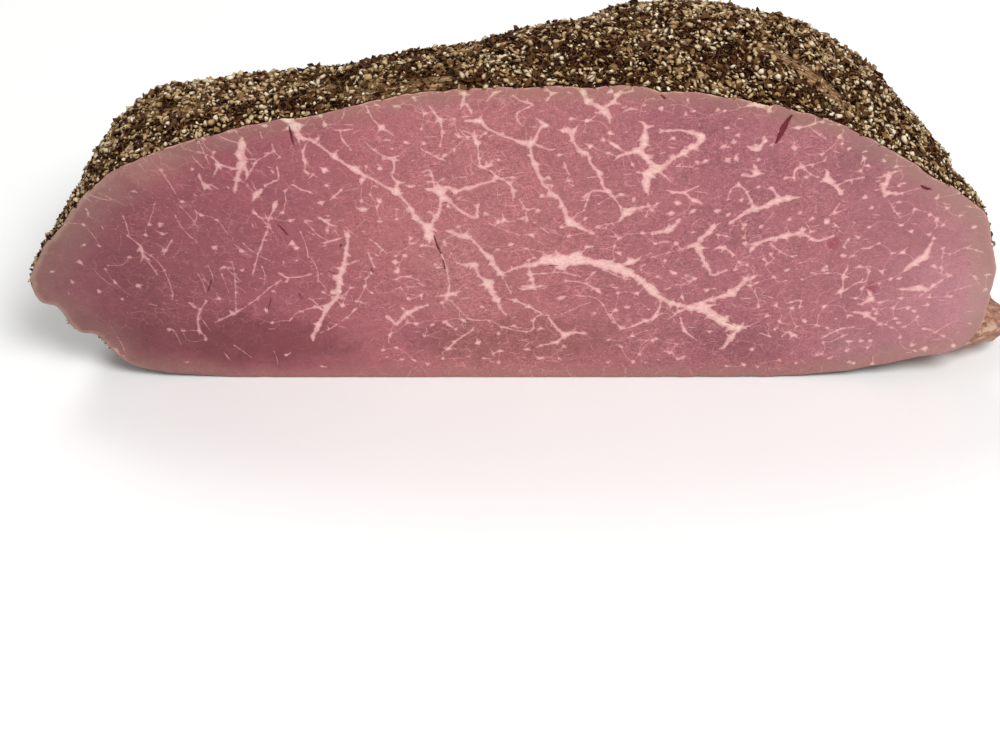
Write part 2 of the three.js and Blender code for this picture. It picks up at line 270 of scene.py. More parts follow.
# ---- marbling ---------------------------------------------------------------------
# The larger seams of fat of the cut face. Each is a run of (across, down, width)
# in the 1000 x 730 frame, widths too.
SEAMS = [
    # middle seam and its branches
    [(501, 275, 2), (515, 269, 3), (535, 265, 6), (545, 262, 10), (560, 262, 13), (575, 260, 14), (590, 263, 12), (605, 265, 11), (617, 268, 10), (628, 273, 9), (640, 280, 9), (648, 287, 10), (655, 294, 8), (663, 300, 6), (672, 305, 6), (692, 309, 7), (702, 308, 9)],
    [(702, 304, 6), (712, 300, 5), (722, 297, 6), (732, 294, 8), (738, 288, 4), (746, 279, 3)],
    [(704, 310, 9), (713, 316, 8), (722, 321, 9), (732, 327, 8), (738, 328, 8), (744, 328, 3)],
    [(738, 330, 6), (732, 337, 5), (723, 348, 4)],
    [(743, 328, 2), (758, 322, 1.4)],
    [(543, 253, 2), (549, 258, 3), (556, 259, 3)],
    [(531, 275, 3.4), (545, 274, 2.6), (560, 273, 2.4), (575, 276, 3)],
    [(530, 274, 4), (532, 280, 4), (532, 288, 6), (523, 290, 3)],
    [(532, 288, 5), (540, 287, 4)],
    [(605, 271, 2), (618, 277, 2), (630, 280, 2)],
    [(565, 281, 2), (585, 284, 3), (597, 291, 4)],
    [(502, 276, 1.2), (507, 286, 2), (511, 294, 3)],
    [(586, 281, 1.6), (596, 272, 1.8)],
    [(655, 317, 5), (645, 322, 5), (635, 326, 4), (622, 329, 3), (610, 315, 1.2)],
    [(660, 301, 2), (660, 308, 3), (654, 317, 4)],
    [(576, 296, 2), (598, 300, 1.8), (610, 318, 1.6), (614, 324, 1.4)],
    [(561, 315, 1.8), (575, 309, 1.8), (590, 303, 1.8)],
    # right of the middle
    [(730, 224, 3), (740, 218, 4), (748, 213, 6), (757, 210, 6), (768, 206, 5), (778, 202, 6), (788, 199, 7)],
    [(768, 190, 2), (772, 189, 5), (778, 198, 2.5)],
    [(727, 201, 2), (732, 190, 2.6), (739, 187, 3), (744, 190, 2), (748, 196, 3), (752, 203, 4), (753, 208, 3)],
    [(757, 245, 4), (765, 242, 4), (773, 240, 5), (782, 238, 7), (790, 236, 6), (798, 234, 6), (806, 236, 5), (818, 241, 3.4), (833, 236, 2.6)],
    [(771, 245, 2), (777, 250, 2), (790, 257, 2), (797, 256, 2.5)],
    [(931, 245, 3), (928, 252, 6), (926, 258, 7), (918, 262, 7), (911, 267, 5), (906, 271, 2)],
    [(903, 290, 3), (912, 290, 5), (920, 289, 6), (928, 291, 4), (935, 285, 3), (942, 281, 1.2)],
    [(943, 254, 2), (953, 254, 2), (965, 249, 2), (983, 253, 2)],
    [(947, 293, 2), (965, 288, 2), (977, 285, 1.6)],
    [(935, 333, 2.6), (948, 325, 2), (958, 321, 1.5)],
    [(825, 337, 3.5), (841, 330, 3), (854, 328, 2.5)],
    [(830, 343, 1.8), (848, 335, 1.8)],
    [(855, 313, 3), (865, 315, 6), (874, 320, 3)],
    [(870, 293, 4), (870, 299, 5), (862, 305, 2)],
    [(847, 270, 3), (843, 278, 4), (843, 290, 2), (841, 293, 5)],
    [(846, 291, 2.5), (857, 284, 2.5), (866, 282, 2), (869, 272, 2.4)],
    [(862, 249, 3), (868, 249, 3), (879, 244, 2)],
    [(849, 238, 2), (843, 248, 2)],
    [(885, 176, 3), (888, 175, 5), (895, 172, 3)],
    [(889, 177, 4), (886, 186, 5), (884, 190, 5), (888, 194, 5), (896, 194, 4)],
    [(828, 173, 3), (828, 181, 6), (837, 188, 3.5), (841, 194, 5)],
    [(820, 183, 3), (831, 182, 3)],
    [(838, 186, 3), (848, 181, 3), (864, 178, 3)],
    [(840, 204, 2), (833, 214, 2)],
    [(846, 210, 2), (829, 216, 2)],
    [(890, 203, 1.4), (895, 212, 2.4), (901, 219, 1.3)],
    [(898, 194, 1.2), (922, 188, 1)],
    [(797, 128, 5), (808, 126, 4), (817, 122, 3)],
    [(811, 128, 2), (818, 134, 2), (826, 139, 2)],
    [(793, 178, 4), (795, 172, 4), (801, 168, 5), (812, 165, 2), (825, 161, 2)],
    [(803, 168, 2), (813, 176, 3), (820, 178, 1.5)],
    [(752, 105, 5), (758, 104, 7), (770, 105, 5)],
    [(769, 108, 5), (769, 111, 7)],
    [(748, 147, 2), (756, 150, 6), (763, 143, 3), (765, 141, 5), (765, 137, 3)],
    [(742, 176, 1.5), (752, 177, 3), (757, 174, 5), (755, 168, 3)],
    [(712, 228, 5), (708, 234, 4), (700, 240, 4)],
    [(717, 235, 2), (726, 237, 2.4)],
    [(690, 247, 4), (697, 246, 8), (702, 258, 4), (706, 265, 5), (709, 270, 3), (713, 276, 2), (727, 271, 1.5)],
    [(714, 250, 2), (723, 248, 5), (735, 256, 2)],
    [(782, 337, 2), (788, 333, 4), (792, 335, 4), (800, 340, 1.5)],
    [(761, 333, 2.2), (769, 336, 2.5)],
    [(792, 303, 3), (801, 302, 3), (799, 310, 1.5)],
    [(766, 266, 2), (774, 260, 2)],
    # upper middle
    [(646, 133, 6), (644, 138, 7), (644, 145, 6), (637, 151, 5), (628, 153, 3.4), (619, 156, 3)],
    [(640, 152, 5), (646, 158, 5), (650, 162, 5), (656, 168, 8), (664, 166, 6), (668, 164, 4), (675, 158, 6), (683, 153, 6), (692, 148, 6.5), (699, 143, 7.5), (702, 137, 6), (690, 133, 3.4), (680, 131, 3), (665, 131, 2), (660, 133, 1.5)],
    [(655, 170, 7), (648, 174, 8), (647, 182, 8), (646, 190, 6)],
    [(645, 173, 2), (636, 172, 2)],
    [(660, 172, 3), (671, 182, 1.5)],
    [(673, 193, 4), (684, 193, 4), (692, 190, 2.5), (699, 187, 2.5)],
    [(684, 194, 2.5), (690, 199, 3), (695, 201, 6)],
    [(676, 167, 2), (693, 168, 2)],
    [(643, 123, 3), (648, 127, 4), (654, 126, 2)],
    [(583, 92, 5), (588, 102, 5), (598, 107, 5), (605, 112, 6), (609, 118, 5)],
    [(603, 108, 5), (612, 103, 5), (618, 95, 5)],
    [(615, 95, 2.4), (633, 91, 2)],
    [(623, 112, 3), (631, 109, 3)],
    [(612, 144, 4), (616, 146, 4)],
    [(541, 123, 4), (546, 126, 5), (541, 128, 2.5), (535, 140, 3), (533, 143, 8), (524, 144, 5), (512, 140, 3), (500, 136, 2.5), (487, 129, 2.5), (478, 122, 7), (470, 122, 3), (465, 122, 3)],
    [(467, 106, 3), (471, 112, 3)],
    [(456, 89, 2), (465, 93, 5), (462, 105, 3.5)],
    [(495, 93, 4), (487, 102, 3)],
    [(513, 96, 2), (522, 102, 2.5), (532, 105, 3), (527, 109, 3), (517, 114, 3), (517, 122, 3)],
    [(545, 88, 3), (551, 94, 5), (548, 99, 4)],
    [(568, 92, 2.5), (573, 94, 2.5)],
    [(530, 147, 3.4), (532, 158, 3.4), (535, 165, 5.5), (536, 168, 3.4), (540, 178, 3), (543, 185, 2), (549, 190, 2), (551, 195, 6), (558, 198, 4), (562, 205, 4.4), (567, 217, 4), (571, 224, 9), (581, 229, 4), (593, 235, 2)],
    [(537, 146, 2.5), (549, 150, 2.5), (555, 149, 1.5)],
    [(571, 222, 2), (577, 215, 2), (585, 211, 2)],
    [(563, 131, 5), (569, 132, 6), (574, 142, 3), (580, 151, 3), (585, 153, 5), (588, 156, 2.5), (592, 166, 2.5), (599, 174, 5), (603, 186, 1.5), (608, 192, 5), (594, 191, 2), (583, 198, 2)],
    [(574, 131, 4), (577, 127, 2)],
    [(564, 163, 2), (569, 175, 2)],
    [(587, 200, 3), (586, 205, 3), (583, 212, 1.5)],
    [(520, 200, 2), (526, 210, 3), (534, 209, 2)],
    [(526, 213, 2.6), (527, 221, 3)],
    [(502, 180, 3), (509, 183, 4), (512, 190, 4), (514, 196, 3)],
    [(474, 137, 6), (477, 145, 4), (478, 152, 3), (480, 165, 3), (485, 167, 6), (491, 165, 4)],
    [(480, 167, 2.6), (492, 172, 3), (498, 178, 3), (512, 178, 2.5)],
    [(463, 131, 2.5), (476, 137, 2.5)],
    [(498, 178, 3), (490, 182, 3), (480, 185, 3.2), (472, 188, 4), (465, 189, 2.6), (456, 192, 5), (448, 189, 3), (440, 192, 7), (428, 190, 4)],
    [(440, 195, 6), (444, 199, 8), (449, 202, 3), (458, 210, 2.5), (466, 215, 2.5), (476, 218, 3), (478, 205, 2)],
    [(441, 200, 4), (439, 212, 3), (437, 216, 4), (431, 225, 4), (428, 228, 10), (430, 238, 8)],
    [(428, 228, 8), (420, 223, 4.5), (416, 219, 6), (411, 209, 3.6), (404, 201, 3.4), (396, 193, 7), (388, 189, 3), (380, 185, 2.6), (368, 178, 2.4), (355, 171, 6), (342, 163, 2), (333, 157, 6), (328, 153, 2.5), (312, 142, 2.6), (302, 139, 3.4)],
    [(422, 173, 2.4), (430, 171, 3), (433, 183, 3), (436, 190, 3)],
    [(429, 107, 3), (434, 114, 3), (440, 121, 5), (442, 135, 2.5), (440, 147, 2)],
    [(422, 150, 1), (440, 159, 2.5)],
    [(433, 240, 2), (439, 250, 2), (443, 258, 2), (446, 268, 2.5), (449, 286, 2.5), (447, 296, 6)],
    [(442, 297, 4), (455, 294, 4)],
    [(446, 299, 1.6), (455, 306, 1.5), (470, 320, 2.6), (490, 321, 1.8), (504, 328, 2.6), (524, 332, 1.6), (533, 330, 3), (534, 320, 2.5), (539, 316, 2.5), (549, 316, 2.5)],
    [(541, 314, 3), (528, 307, 4.5), (514, 301, 4)],
    [(549, 319, 1.5), (558, 330, 3), (566, 335, 5), (575, 333, 2.5), (584, 334, 2.5)],
    [(565, 336, 4), (556, 343, 3.5), (541, 346, 3)],
    [(472, 331, 3), (455, 343, 3), (448, 350, 3)],
    [(457, 264, 2), (466, 266, 3), (474, 265, 6.5), (477, 273, 2.2), (482, 279, 2), (488, 283, 7.5), (492, 292, 5), (496, 299, 5.5), (500, 308, 2), (506, 315, 2)],
    [(448, 232, 2), (458, 235, 3), (467, 238, 5.5), (478, 246, 2.4), (484, 253, 3), (490, 257, 6.5), (493, 265, 4), (500, 274, 6)],
    [(489, 224, 1.8), (500, 229, 1.8), (519, 236, 1.8)],
    [(540, 228, 2), (549, 234, 3)],
    [(446, 232, 2.4), (462, 239, 3), (466, 236, 5)],
    [(622, 219, 5), (627, 213, 8), (632, 210, 5), (642, 208, 2.5), (650, 206, 1)],
    [(621, 208, 2.5), (612, 196, 2.5)],
    [(652, 234, 2), (658, 233, 3), (668, 231, 6), (674, 227, 5), (680, 220, 2)],
    [(602, 226, 1.5), (620, 222, 1.2)],
    [(627, 264, 5), (633, 262, 6), (638, 260, 4)],
    [(650, 258, 1.3), (675, 252, 1.3), (688, 249, 1.5)],
    [(680, 318, 2.4), (685, 332, 4), (697, 341, 1.5)],
    [(668, 320, 2), (680, 312, 3)],
    # left
    [(262, 120, 3), (275, 118, 4), (287, 120, 7), (294, 127, 12), (299, 138, 8)],
    [(242, 138, 2.4), (241, 147, 6.5), (240, 155, 7.5), (241, 166, 6), (238, 178, 4.6), (235, 190, 4)],
    [(243, 165, 6), (247, 175, 4)],
    [(236, 170, 2.4), (217, 165, 3)],
    [(247, 160, 3), (256, 161, 3), (250, 172, 2.5)],
    [(272, 145, 2), (274, 152, 2), (280, 158, 2)],
    [(274, 152, 2), (258, 161, 2)],
    [(265, 187, 3), (273, 182, 3), (278, 180, 3), (277, 168, 3)],
    [(256, 196, 6), (262, 190, 1.5)],
    [(275, 207, 5), (269, 220, 2), (267, 235, 2)],
    [(364, 142, 1.5), (373, 150, 1.5), (388, 159, 2), (393, 160, 5), (394, 170, 2.5), (392, 178, 2.6), (398, 183, 4), (404, 184, 3)],
    [(388, 159, 3), (399, 156, 3)],
    [(366, 106, 1.6), (373, 120, 2), (381, 128, 5), (388, 132, 2.4), (394, 136, 2)],
    [(341, 131, 4), (352, 130, 2)],
    [(342, 140, 2.5), (351, 151, 2.5)],
    [(303, 152, 3.5), (304, 161, 3)],
    [(292, 186, 2), (300, 190, 3), (309, 193, 2)],
    [(341, 192, 3), (336, 196, 2.6), (330, 201, 1.6)],
    [(318, 218, 2), (324, 221, 5), (329, 225, 4)],
    [(347, 236, 5.5), (347, 245, 3), (346, 254, 3.4), (344, 263, 4), (342, 270, 5), (339, 280, 6), (339, 292, 6), (335, 300, 4), (327, 309, 6.5), (322, 318, 4.5), (319, 325, 4), (316, 331, 4), (313, 337, 3.5)],
    [(345, 266, 2), (359, 261, 2)],
    [(321, 333, 2), (332, 328, 1.6), (348, 317, 1.6), (354, 311, 2.6)],
    [(290, 321, 1.2), (292, 318, 1.5), (300, 312, 1.5), (316, 308, 3), (321, 310, 2)],
    [(279, 274, 2.5), (287, 278, 4), (298, 278, 2.5), (312, 275, 2)],
    [(281, 281, 1.4), (270, 288, 1.4), (254, 301, 1.4), (238, 312, 2), (233, 314, 4), (215, 323, 1.5)],
    [(325, 243, 2.5), (337, 240, 2.5)],
    [(388, 318, 3), (396, 325, 5), (402, 320, 4), (408, 314, 5), (418, 309, 4), (428, 306, 2)],
    [(376, 244, 3.2), (387, 254, 1.5)],
    [(396, 280, 2), (404, 277, 3), (420, 281, 1.5)],
    [(368, 253, 2), (374, 268, 2)],
    [(179, 144, 1.5), (186, 150, 1.6), (200, 153, 1.6), (211, 158, 2), (217, 165, 4.5), (214, 175, 2.4)],
    [(199, 177, 3), (204, 186, 5), (207, 188, 4)],
    [(127, 236, 2), (139, 245, 2.4), (141, 249, 4), (143, 256, 3)],
    [(144, 257, 1.5), (157, 275, 1.5)],
    [(143, 251, 1.3), (161, 266, 1.3), (172, 292, 1.3), (172, 300, 1.3)],
    [(172, 240, 2), (163, 255, 3)],
    [(189, 304, 2), (193, 307, 3), (200, 310, 2)],
    [(207, 301, 1.6), (198, 316, 3), (199, 331, 3.4)],
    [(232, 262, 1.2), (235, 280, 1.4), (236, 312, 1.2)],
    [(266, 232, 1.6), (260, 250, 2.6), (252, 276, 2)],
    [(116, 350, 3), (120, 355, 2.4)],
]
# Single small blobs of fat: across, down, width.
BLOBS = [
    (160, 225, 3), (182, 202, 3), (99, 292, 3.5), (80, 263, 3), (115, 283, 2.5), (138, 286, 2.5), (214, 248, 3), (229, 132, 3),
    (265, 126, 3), (292, 244, 4), (266, 311, 3), (324, 171, 4), (321, 204, 3), (363, 211, 6), (379, 202, 3), (333, 293, 4),
    (335, 277, 3), (395, 263, 3.5), (387, 318, 3), (406, 143, 3), (432, 326, 3), (478, 343, 4), (527, 350, 3.5), (511, 245, 3.5),
    (560, 299, 2.5), (578, 255, 3), (603, 140, 3), (611, 92, 4), (619, 254, 3), (671, 214, 4), (693, 212, 4), (678, 204, 4),
    (717, 212, 4), (728, 216, 3), (705, 162, 4), (728, 161, 4), (724, 147, 3), (686, 115, 2), (718, 111, 2.5), (727, 129, 2),
    (738, 136, 2), (772, 145, 2), (674, 274, 5), (707, 291, 3), (627, 308, 3), (752, 250, 5), (745, 245, 3), (761, 228, 3),
    (787, 271, 3), (767, 316, 2.5), (805, 322, 2.5), (752, 350, 2.5), (827, 222, 5), (812, 219, 3), (872, 208, 3), (865, 198, 3),
    (843, 256, 3), (803, 230, 3), (824, 271, 3), (868, 166, 3), (884, 161, 2), (849, 149, 2), (925, 349, 3.5), (899, 279, 2.5),
    (930, 215, 2), (934, 239, 2), (911, 232, 2.5), (974, 228, 2.5), (898, 324, 2.5), (914, 312, 2), (880, 325, 2), (861, 342, 2),
]
# Clefts and an opened vessel, in the same way.
SLITS = [
    [(792, 116, 3), (787, 123, 6), (783, 131, 8), (779, 138, 6), (776, 144, 3)],
    [(922, 187, 4), (926, 189, 5), (930, 190, 3.5)],
    [(434, 238, 1.8), (437, 247, 2.8), (441, 255, 1.8)],
    [(443, 262, 1.6), (445, 270, 2.2)],
    [(289, 128, 2), (291, 138, 3.2), (293, 146, 2)],
    [(278, 226, 1.6), (283, 231, 2.4), (287, 236, 1.6)],
    [(341, 246, 2.4), (340, 248, 1.8)],
    [(661, 96, 2.6), (665, 99, 3.4)],
    [(211, 282, 1.4), (208, 292, 1.4)],
    [(271, 300, 1.4), (268, 311, 1.4)],
    [(371, 270, 1.4), (373, 275, 1.2)],
    [(299, 295, 1.1), (301, 300, 1.1)],
    [(329, 273, 1.2), (334, 275, 1.2)],
    [(550, 267, 1.2), (558, 267, 1.2)],
    [(726, 323, 1.2), (732, 325, 1.2)],
]

rng = np.random.default_rng(20417)


def run_on_face(run, step=0.42, wander=0.26, swell=0.4, seed=1, pinch=0.0):
    """A run of the lists above as closely spaced (x, z, radius) in mm, curved, with a little wander, and drawn thin by pinch between its places."""
    r = np.array(run, float)
    x, z, s = on_face(r[:, 0], r[:, 1])
    k = np.stack([x, z, np.maximum(r[:, 2] * s * 0.5 * np.interp(r[:, 2], [2, 4, 9], [0.70, 0.80, 0.92]), 0.12)], 1)
    if len(k) > 2:   # Catmull-Rom through the places
        e = np.concatenate([[2 * k[0] - k[1]], k, [2 * k[-1] - k[-2]]])
        out = []
        for i in range(1, len(e) - 2):
            m = max(2, int(np.linalg.norm(e[i + 1, :2] - e[i, :2]) / step))
            t = np.arange(m)[:, None] / m
            a, b, c, d = e[i - 1], e[i], e[i + 1], e[i + 2]
            part = 0.5 * (2 * b + (c - a) * t + (2 * a - 5 * b + 4 * c - d) * t**2 + (3 * b - a - 3 * c + d) * t**3)
            far = float(smooth(1.2, 3.2, np.linalg.norm(c[:2] - b[:2])))
            part[:, 2:] *= 1 - pinch * far * np.sin(math.pi * t) ** 2
            out.append(part)
        k = np.concatenate(out + [e[-2:-1]])
    else:
        m = max(2, int(np.linalg.norm(k[1, :2] - k[0, :2]) / step))
        t = np.linspace(0, 1, m + 1)[:, None]
        k = k[:1] * (1 - t) + k[1:] * t
    p = np.stack([k[:, 0], k[:, 0] * 0 + 7.3 * seed, k[:, 1]], 1)
    w = np.minimum(1.0, k[:, 2] / 0.5)[:, None]
    k[:, :2] += wander * w * np.stack([noise(p, 2.1, 11) + 0.4 * noise(p, 0.9, 9), noise(p, 2.1, 12) + 0.4 * noise(p, 0.9, 10)], 1)
    k[:, 2] = np.maximum(k[:, 2], 0.11) * (1 + swell * noise(p, 1.5, 13) + 0.7 * swell * noise(p, 0.75, 14))
    return k


def spike(x, z, a, length, r0, bend=0.0):
    """A short thorn of fat from a place, running out to nothing."""
    m = max(3, int(length / 0.32))
    t = np.linspace(0, 1, m)
    aa = a + bend * t
    px, pz = x + np.cumsum(np.cos(aa)) * length / m, z + np.cumsum(np.sin(aa)) * length / m
    return np.stack([np.r_[x, px], np.r_[z, pz], np.r_[r0, r0 * (1 - t) ** 1.2 + 0.07]], 1)


def thorns(k):
    """Short broad points where a seam swells, and its ends drawn out."""
    made = []
    along = np.concatenate([[0], np.cumsum(np.hypot(*np.diff(k[:, :2], axis=0).T))])
    last = -9.0
    for i in range(len(k)):
        r = k[i, 2]
        lo, hi = max(0, i - 4), min(len(k), i + 5)
        swollen = r > 0.36 and r >= k[lo:hi, 2].max() - 1e-9 and r > 1.1 * k[lo:hi, 2].min()
        end = i in (0, len(k) - 1) and r > 0.25
        stray = along[i] - last > 2.6 and rng.uniform() < 0.16
        if not (swollen or end or stray):
            continue
        if (swollen or stray) and along[i] - last < 1.2:
            continue
        last = along[i]
        j = min(max(i, 1), len(k) - 2)
        head = math.atan2(k[j + 1, 1] - k[j - 1, 1], k[j + 1, 0] - k[j - 1, 0])
        for m in range(2 if swollen else 1):
            side = 1 if (m + (rng.uniform() < 0.5)) % 2 else -1
            a = head + side * rng.uniform(0.6, 1.7)
            length, base = r * rng.uniform(0.9, 2.0) + rng.uniform(0.25, 1.1), r * rng.uniform(0.45, 0.8)
            if end:
                a = head + (math.pi if i == 0 else 0) + rng.uniform(-0.6, 0.6)
                length += rng.uniform(0.2, 1.0)
            made.append(spike(k[i, 0], k[i, 1], a, length, base, rng.uniform(-0.3, 0.3)))
    return made


def strands(k, seed):
    """Threads that run along the sides of a broad seam, now in it and now beside it."""
    made = []
    if k[:, 2].max() < 0.62 or len(k) < 5:
        return made
    d = np.gradient(k[:, :2], axis=0)
    d /= np.maximum(np.linalg.norm(d, axis=1, keepdims=True), 1e-9)
    across = np.stack([-d[:, 1], d[:, 0]], 1)
    p = np.stack([k[:, 0], k[:, 0] * 0 + 3.1 * seed, k[:, 1]], 1)
    for n, side in enumerate((-1, 1)):
        off = side * k[:, 2] * (0.78 + 0.5 * noise(p, 3.4, 15 + n)) + 0.22 * noise(p, 1.1, 17 + n)
        r = k[:, 2] * (0.36 + 0.34 * noise(p, 1.9, 19 + n))
        q = np.concatenate([k[:, :2] + across * off[:, None], np.maximum(r, 0.07)[:, None]], 1)
        made.append(q)
    return made


def blob(u, v, w):
    """A small blob with two to four short points."""
    x, z, s = (float(a[0]) for a in on_face(u, v))
    r = 0.5 * w * s * 0.8
    made = [np.array([[x - 0.4 * r, z - 0.2 * r, 0.8 * r], [x + 0.4 * r, z + 0.2 * r, 0.85 * r]])]
    a0, n = rng.uniform(0, 6.28), int(rng.integers(2, 5))
    for m in range(n):
        a = a0 + (m + rng.uniform(-0.25, 0.25)) * 2 * math.pi / n
        made.append(spike(x, z, a, r * rng.uniform(1.2, 2.6) + rng.uniform(0.1, 0.6), r * rng.uniform(0.6, 0.85), rng.uniform(-0.4, 0.4)))
    return made


runs = [run_on_face(s, seed=i, pinch=0.34) for i, s in enumerate(SEAMS)]
runs += [t for i, k in enumerate(list(runs)) for t in strands(k, i)] + [t for k in list(runs) for t in thorns(k)]
runs += [t for b in BLOBS for t in blob(*b)]
slits = [run_on_face(s, 0.4, 0.08, 0.15, seed=i) for i, s in enumerate(SLITS)]
print("seams", sum(map(len, runs)))

_seam_points = np.concatenate(runs)


def seam_field(q, some, fillet):
    """Signed depth in mm of each point in the seams: more than 0 inside. Meeting seams blend as a fillet."""
    order = np.argsort(q[:, 0])
    xs = q[order, 0]
    qs = q[order]
    out = np.full(len(q), -2.0)
    for k in some:
        lo, hi = np.searchsorted(xs, [k[:, 0].min() - 3.4, k[:, 0].max() + 3.4])
        sub = qs[lo:hi]
        zmin, zmax = k[:, 1].min() - 3.4, k[:, 1].max() + 3.4
        pick = np.nonzero((sub[:, 1] > zmin) & (sub[:, 1] < zmax))[0]
        if not len(pick):
            continue
        w = sub[pick]
        best = np.full(len(w), -2.0)
        for i in range(len(k) - 1):
            a, b = k[i], k[i + 1]
            ab = b[:2] - a[:2]
            near = np.nonzero(np.abs(w[:, 0] - (a[0] + b[0]) / 2) < 3.4)[0]
            if not len(near):
                continue
            ap = w[near] - a[:2]
            t = np.clip((ap @ ab) / max(ab @ ab, 1e-9), 0, 1)
            s = a[2] + (b[2] - a[2]) * t - np.hypot(ap[:, 0] - t * ab[0], ap[:, 1] - t * ab[1])
            best[near] = np.maximum(best[near], s)
        at = lo + pick
        old = out[at]
        h = np.maximum(fillet - np.abs(old - best), 0) / fillet
        out[at] = np.maximum(old, best) + h * h * fillet * 0.25 * (old > -1.9)
    res = np.empty(len(q))
    res[order] = out
    return np.clip(res, -2.0, 2.5)


# Small flecks between the seams: little pointed knots joined here and there by fine
# threads, short dashes along the fibres, and long fine lines.
def thread(a, b, r_a, r_b, n):
    """A fine curved thread from one place to another, thick near its ends, sometimes broken off."""
    d = b - a
    length = float(np.hypot(*d))
    m = max(4, int(length / 0.4))
    t = np.linspace(0, 1, m)
    bow = rng.normal(0, 0.13) * length * np.sin(math.pi * t)
    side = np.array([-d[1], d[0]]) / max(length, 1e-6)
    xz = a + d * t[:, None] + side * bow[:, None]
    p = np.stack([xz[:, 0], 0 * t + 0.7 * n, xz[:, 1]], 1)
    xz += 0.22 * np.sin(math.pi * t)[:, None] * np.stack([noise(p, 1.7, 25), noise(p, 1.7, 26)], 1)
    r = 0.085 + (0.8 * r_a - 0.085) * np.exp(-t * length / 0.45) + (0.8 * r_b - 0.085) * np.exp(-(1 - t) * length / 0.45)
    r = np.maximum(r, 0.05) * (1 + 0.75 * noise(p, 1.3, 27))
    k = np.concatenate([xz, r[:, None]], 1)
    if rng.uniform() < 0.3:
        k = k[:max(3, int(m * rng.uniform(0.35, 0.7)))]
    return k


def flecks():
    nodes, wisps, spots = [], [], []
    cell = 4.2
    for gx in np.arange(-118, 128, cell):
        for gz in np.arange(4, 98, cell):
            x, z = gx + rng.uniform(0, cell), gz + rng.uniform(0, cell)
            chance, size, dash = rng.uniform(size=3)
            right = float(smooth(-80, -35, x))
            low_left = float(smooth(-5, -40, x) * smooth(34, 20, z))
            if chance > (0.24 + 0.42 * right) * (1 - 0.65 * low_left):
                continue
            near = np.min(np.hypot(_seam_points[:, 0] - x, _seam_points[:, 1] - z) - _seam_points[:, 2])
            if near < 1.0:
                continue
            node = (0.12 + 0.27 * size**3) * (0.8 + 0.2 * right)
            grain = -1.05 if x < -55 else 0.1
            if dash < 0.26:      # a dash along the fibres
                a = grain + 0.7 * rng.uniform(-1, 1) + (math.pi if rng.uniform() < 0.5 else 0)
                nodes.append(spike(x, z, a, 0.7 + 1.7 * rng.uniform() ** 1.5, node * 0.8, 0.4 * rng.uniform(-1, 1)))
                continue
            spots.append((x, z, node))
    spots = np.array(spots)
    knots = np.concatenate([k[::max(1, len(k) // 6)] for k in runs if len(k) > 6])
    linked = set()
    for i, (x, z, node) in enumerate(spots):
        grain = -1.05 if x < -55 else 0.1
        dx, dz = spots[:, 0] - x, spots[:, 1] - z
        along, across = dx * math.cos(grain) + dz * math.sin(grain), -dx * math.sin(grain) + dz * math.cos(grain)
        far = np.hypot(along, across * 1.15)
        angles = []
        for j in np.argsort(far)[1:5]:
            if far[j] > 8.5 or (min(i, j), max(i, j)) in linked or rng.uniform() > 0.34:
                continue
            linked.add((min(i, j), max(i, j)))
            wisps.append(thread(spots[i, :2], spots[j, :2], node, spots[j, 2], i))
            angles.append(math.atan2(dz[j], dx[j]))
        g = np.hypot(knots[:, 0] - x, knots[:, 1] - z)
        j = int(np.argmin(g))
        if g[j] < 5.5 and rng.uniform() < 0.5:
            wisps.append(thread(spots[i, :2], knots[j, :2], node, 0.2, i))
            angles.append(math.atan2(knots[j, 1] - z, knots[j, 0] - x))
        free = rng.uniform(0, 2 * math.pi)
        while len(angles) < 3 and rng.uniform() < 0.85:
            angles.append(free + len(angles) * 2.1 + rng.uniform(-0.5, 0.5))
        nodes.append(np.array([[x - 0.1, z, node], [x + 0.12, z + 0.05, node]]))
        for a in angles:
            nodes.append(spike(x, z, a, (0.35 + 1.1 * rng.uniform() ** 1.6) * (0.6 + 2.4 * node), node * 0.75, 0.5 * rng.uniform(-1, 1)))
    # long fine lines: nearly upright at the left, level in the middle and right
    for i in range(230):
        x, z = rng.uniform(-108, 122), rng.uniform(8, 94)
        left = x < -48 + 12 * rng.normal()
        a = rng.normal(-1.1, 0.22) if left else rng.normal(0.05, 0.35)
        length, bend = (rng.uniform(3.0, 11.0) if left else rng.uniform(1.2, 4.0)), rng.normal(0, 0.4 if left else 0.22)
        m = max(4, int(length / 0.45))
        t = np.linspace(0, 1, m)
        aa = a + bend * t
        px, pz = x + np.cumsum(np.cos(aa)) * length / m, z + np.cumsum(np.sin(aa)) * length / m
        p = np.stack([px, 0 * px + i, pz], 1)
        wisps.append(np.stack([px, pz, (0.05 + 0.09 * np.sin(math.pi * t)) * (1 + 0.9 * noise(p, 1.7, 24))], 1))
        if left and rng.uniform() < 0.4:
            nodes.append(spike(x, z, a, 0.9, 0.22, 0.0))
    return nodes, wisps


small, wisps = flecks()
print("flecks", len(small), len(wisps), sum(map(len, small)) + sum(map(len, wisps)))

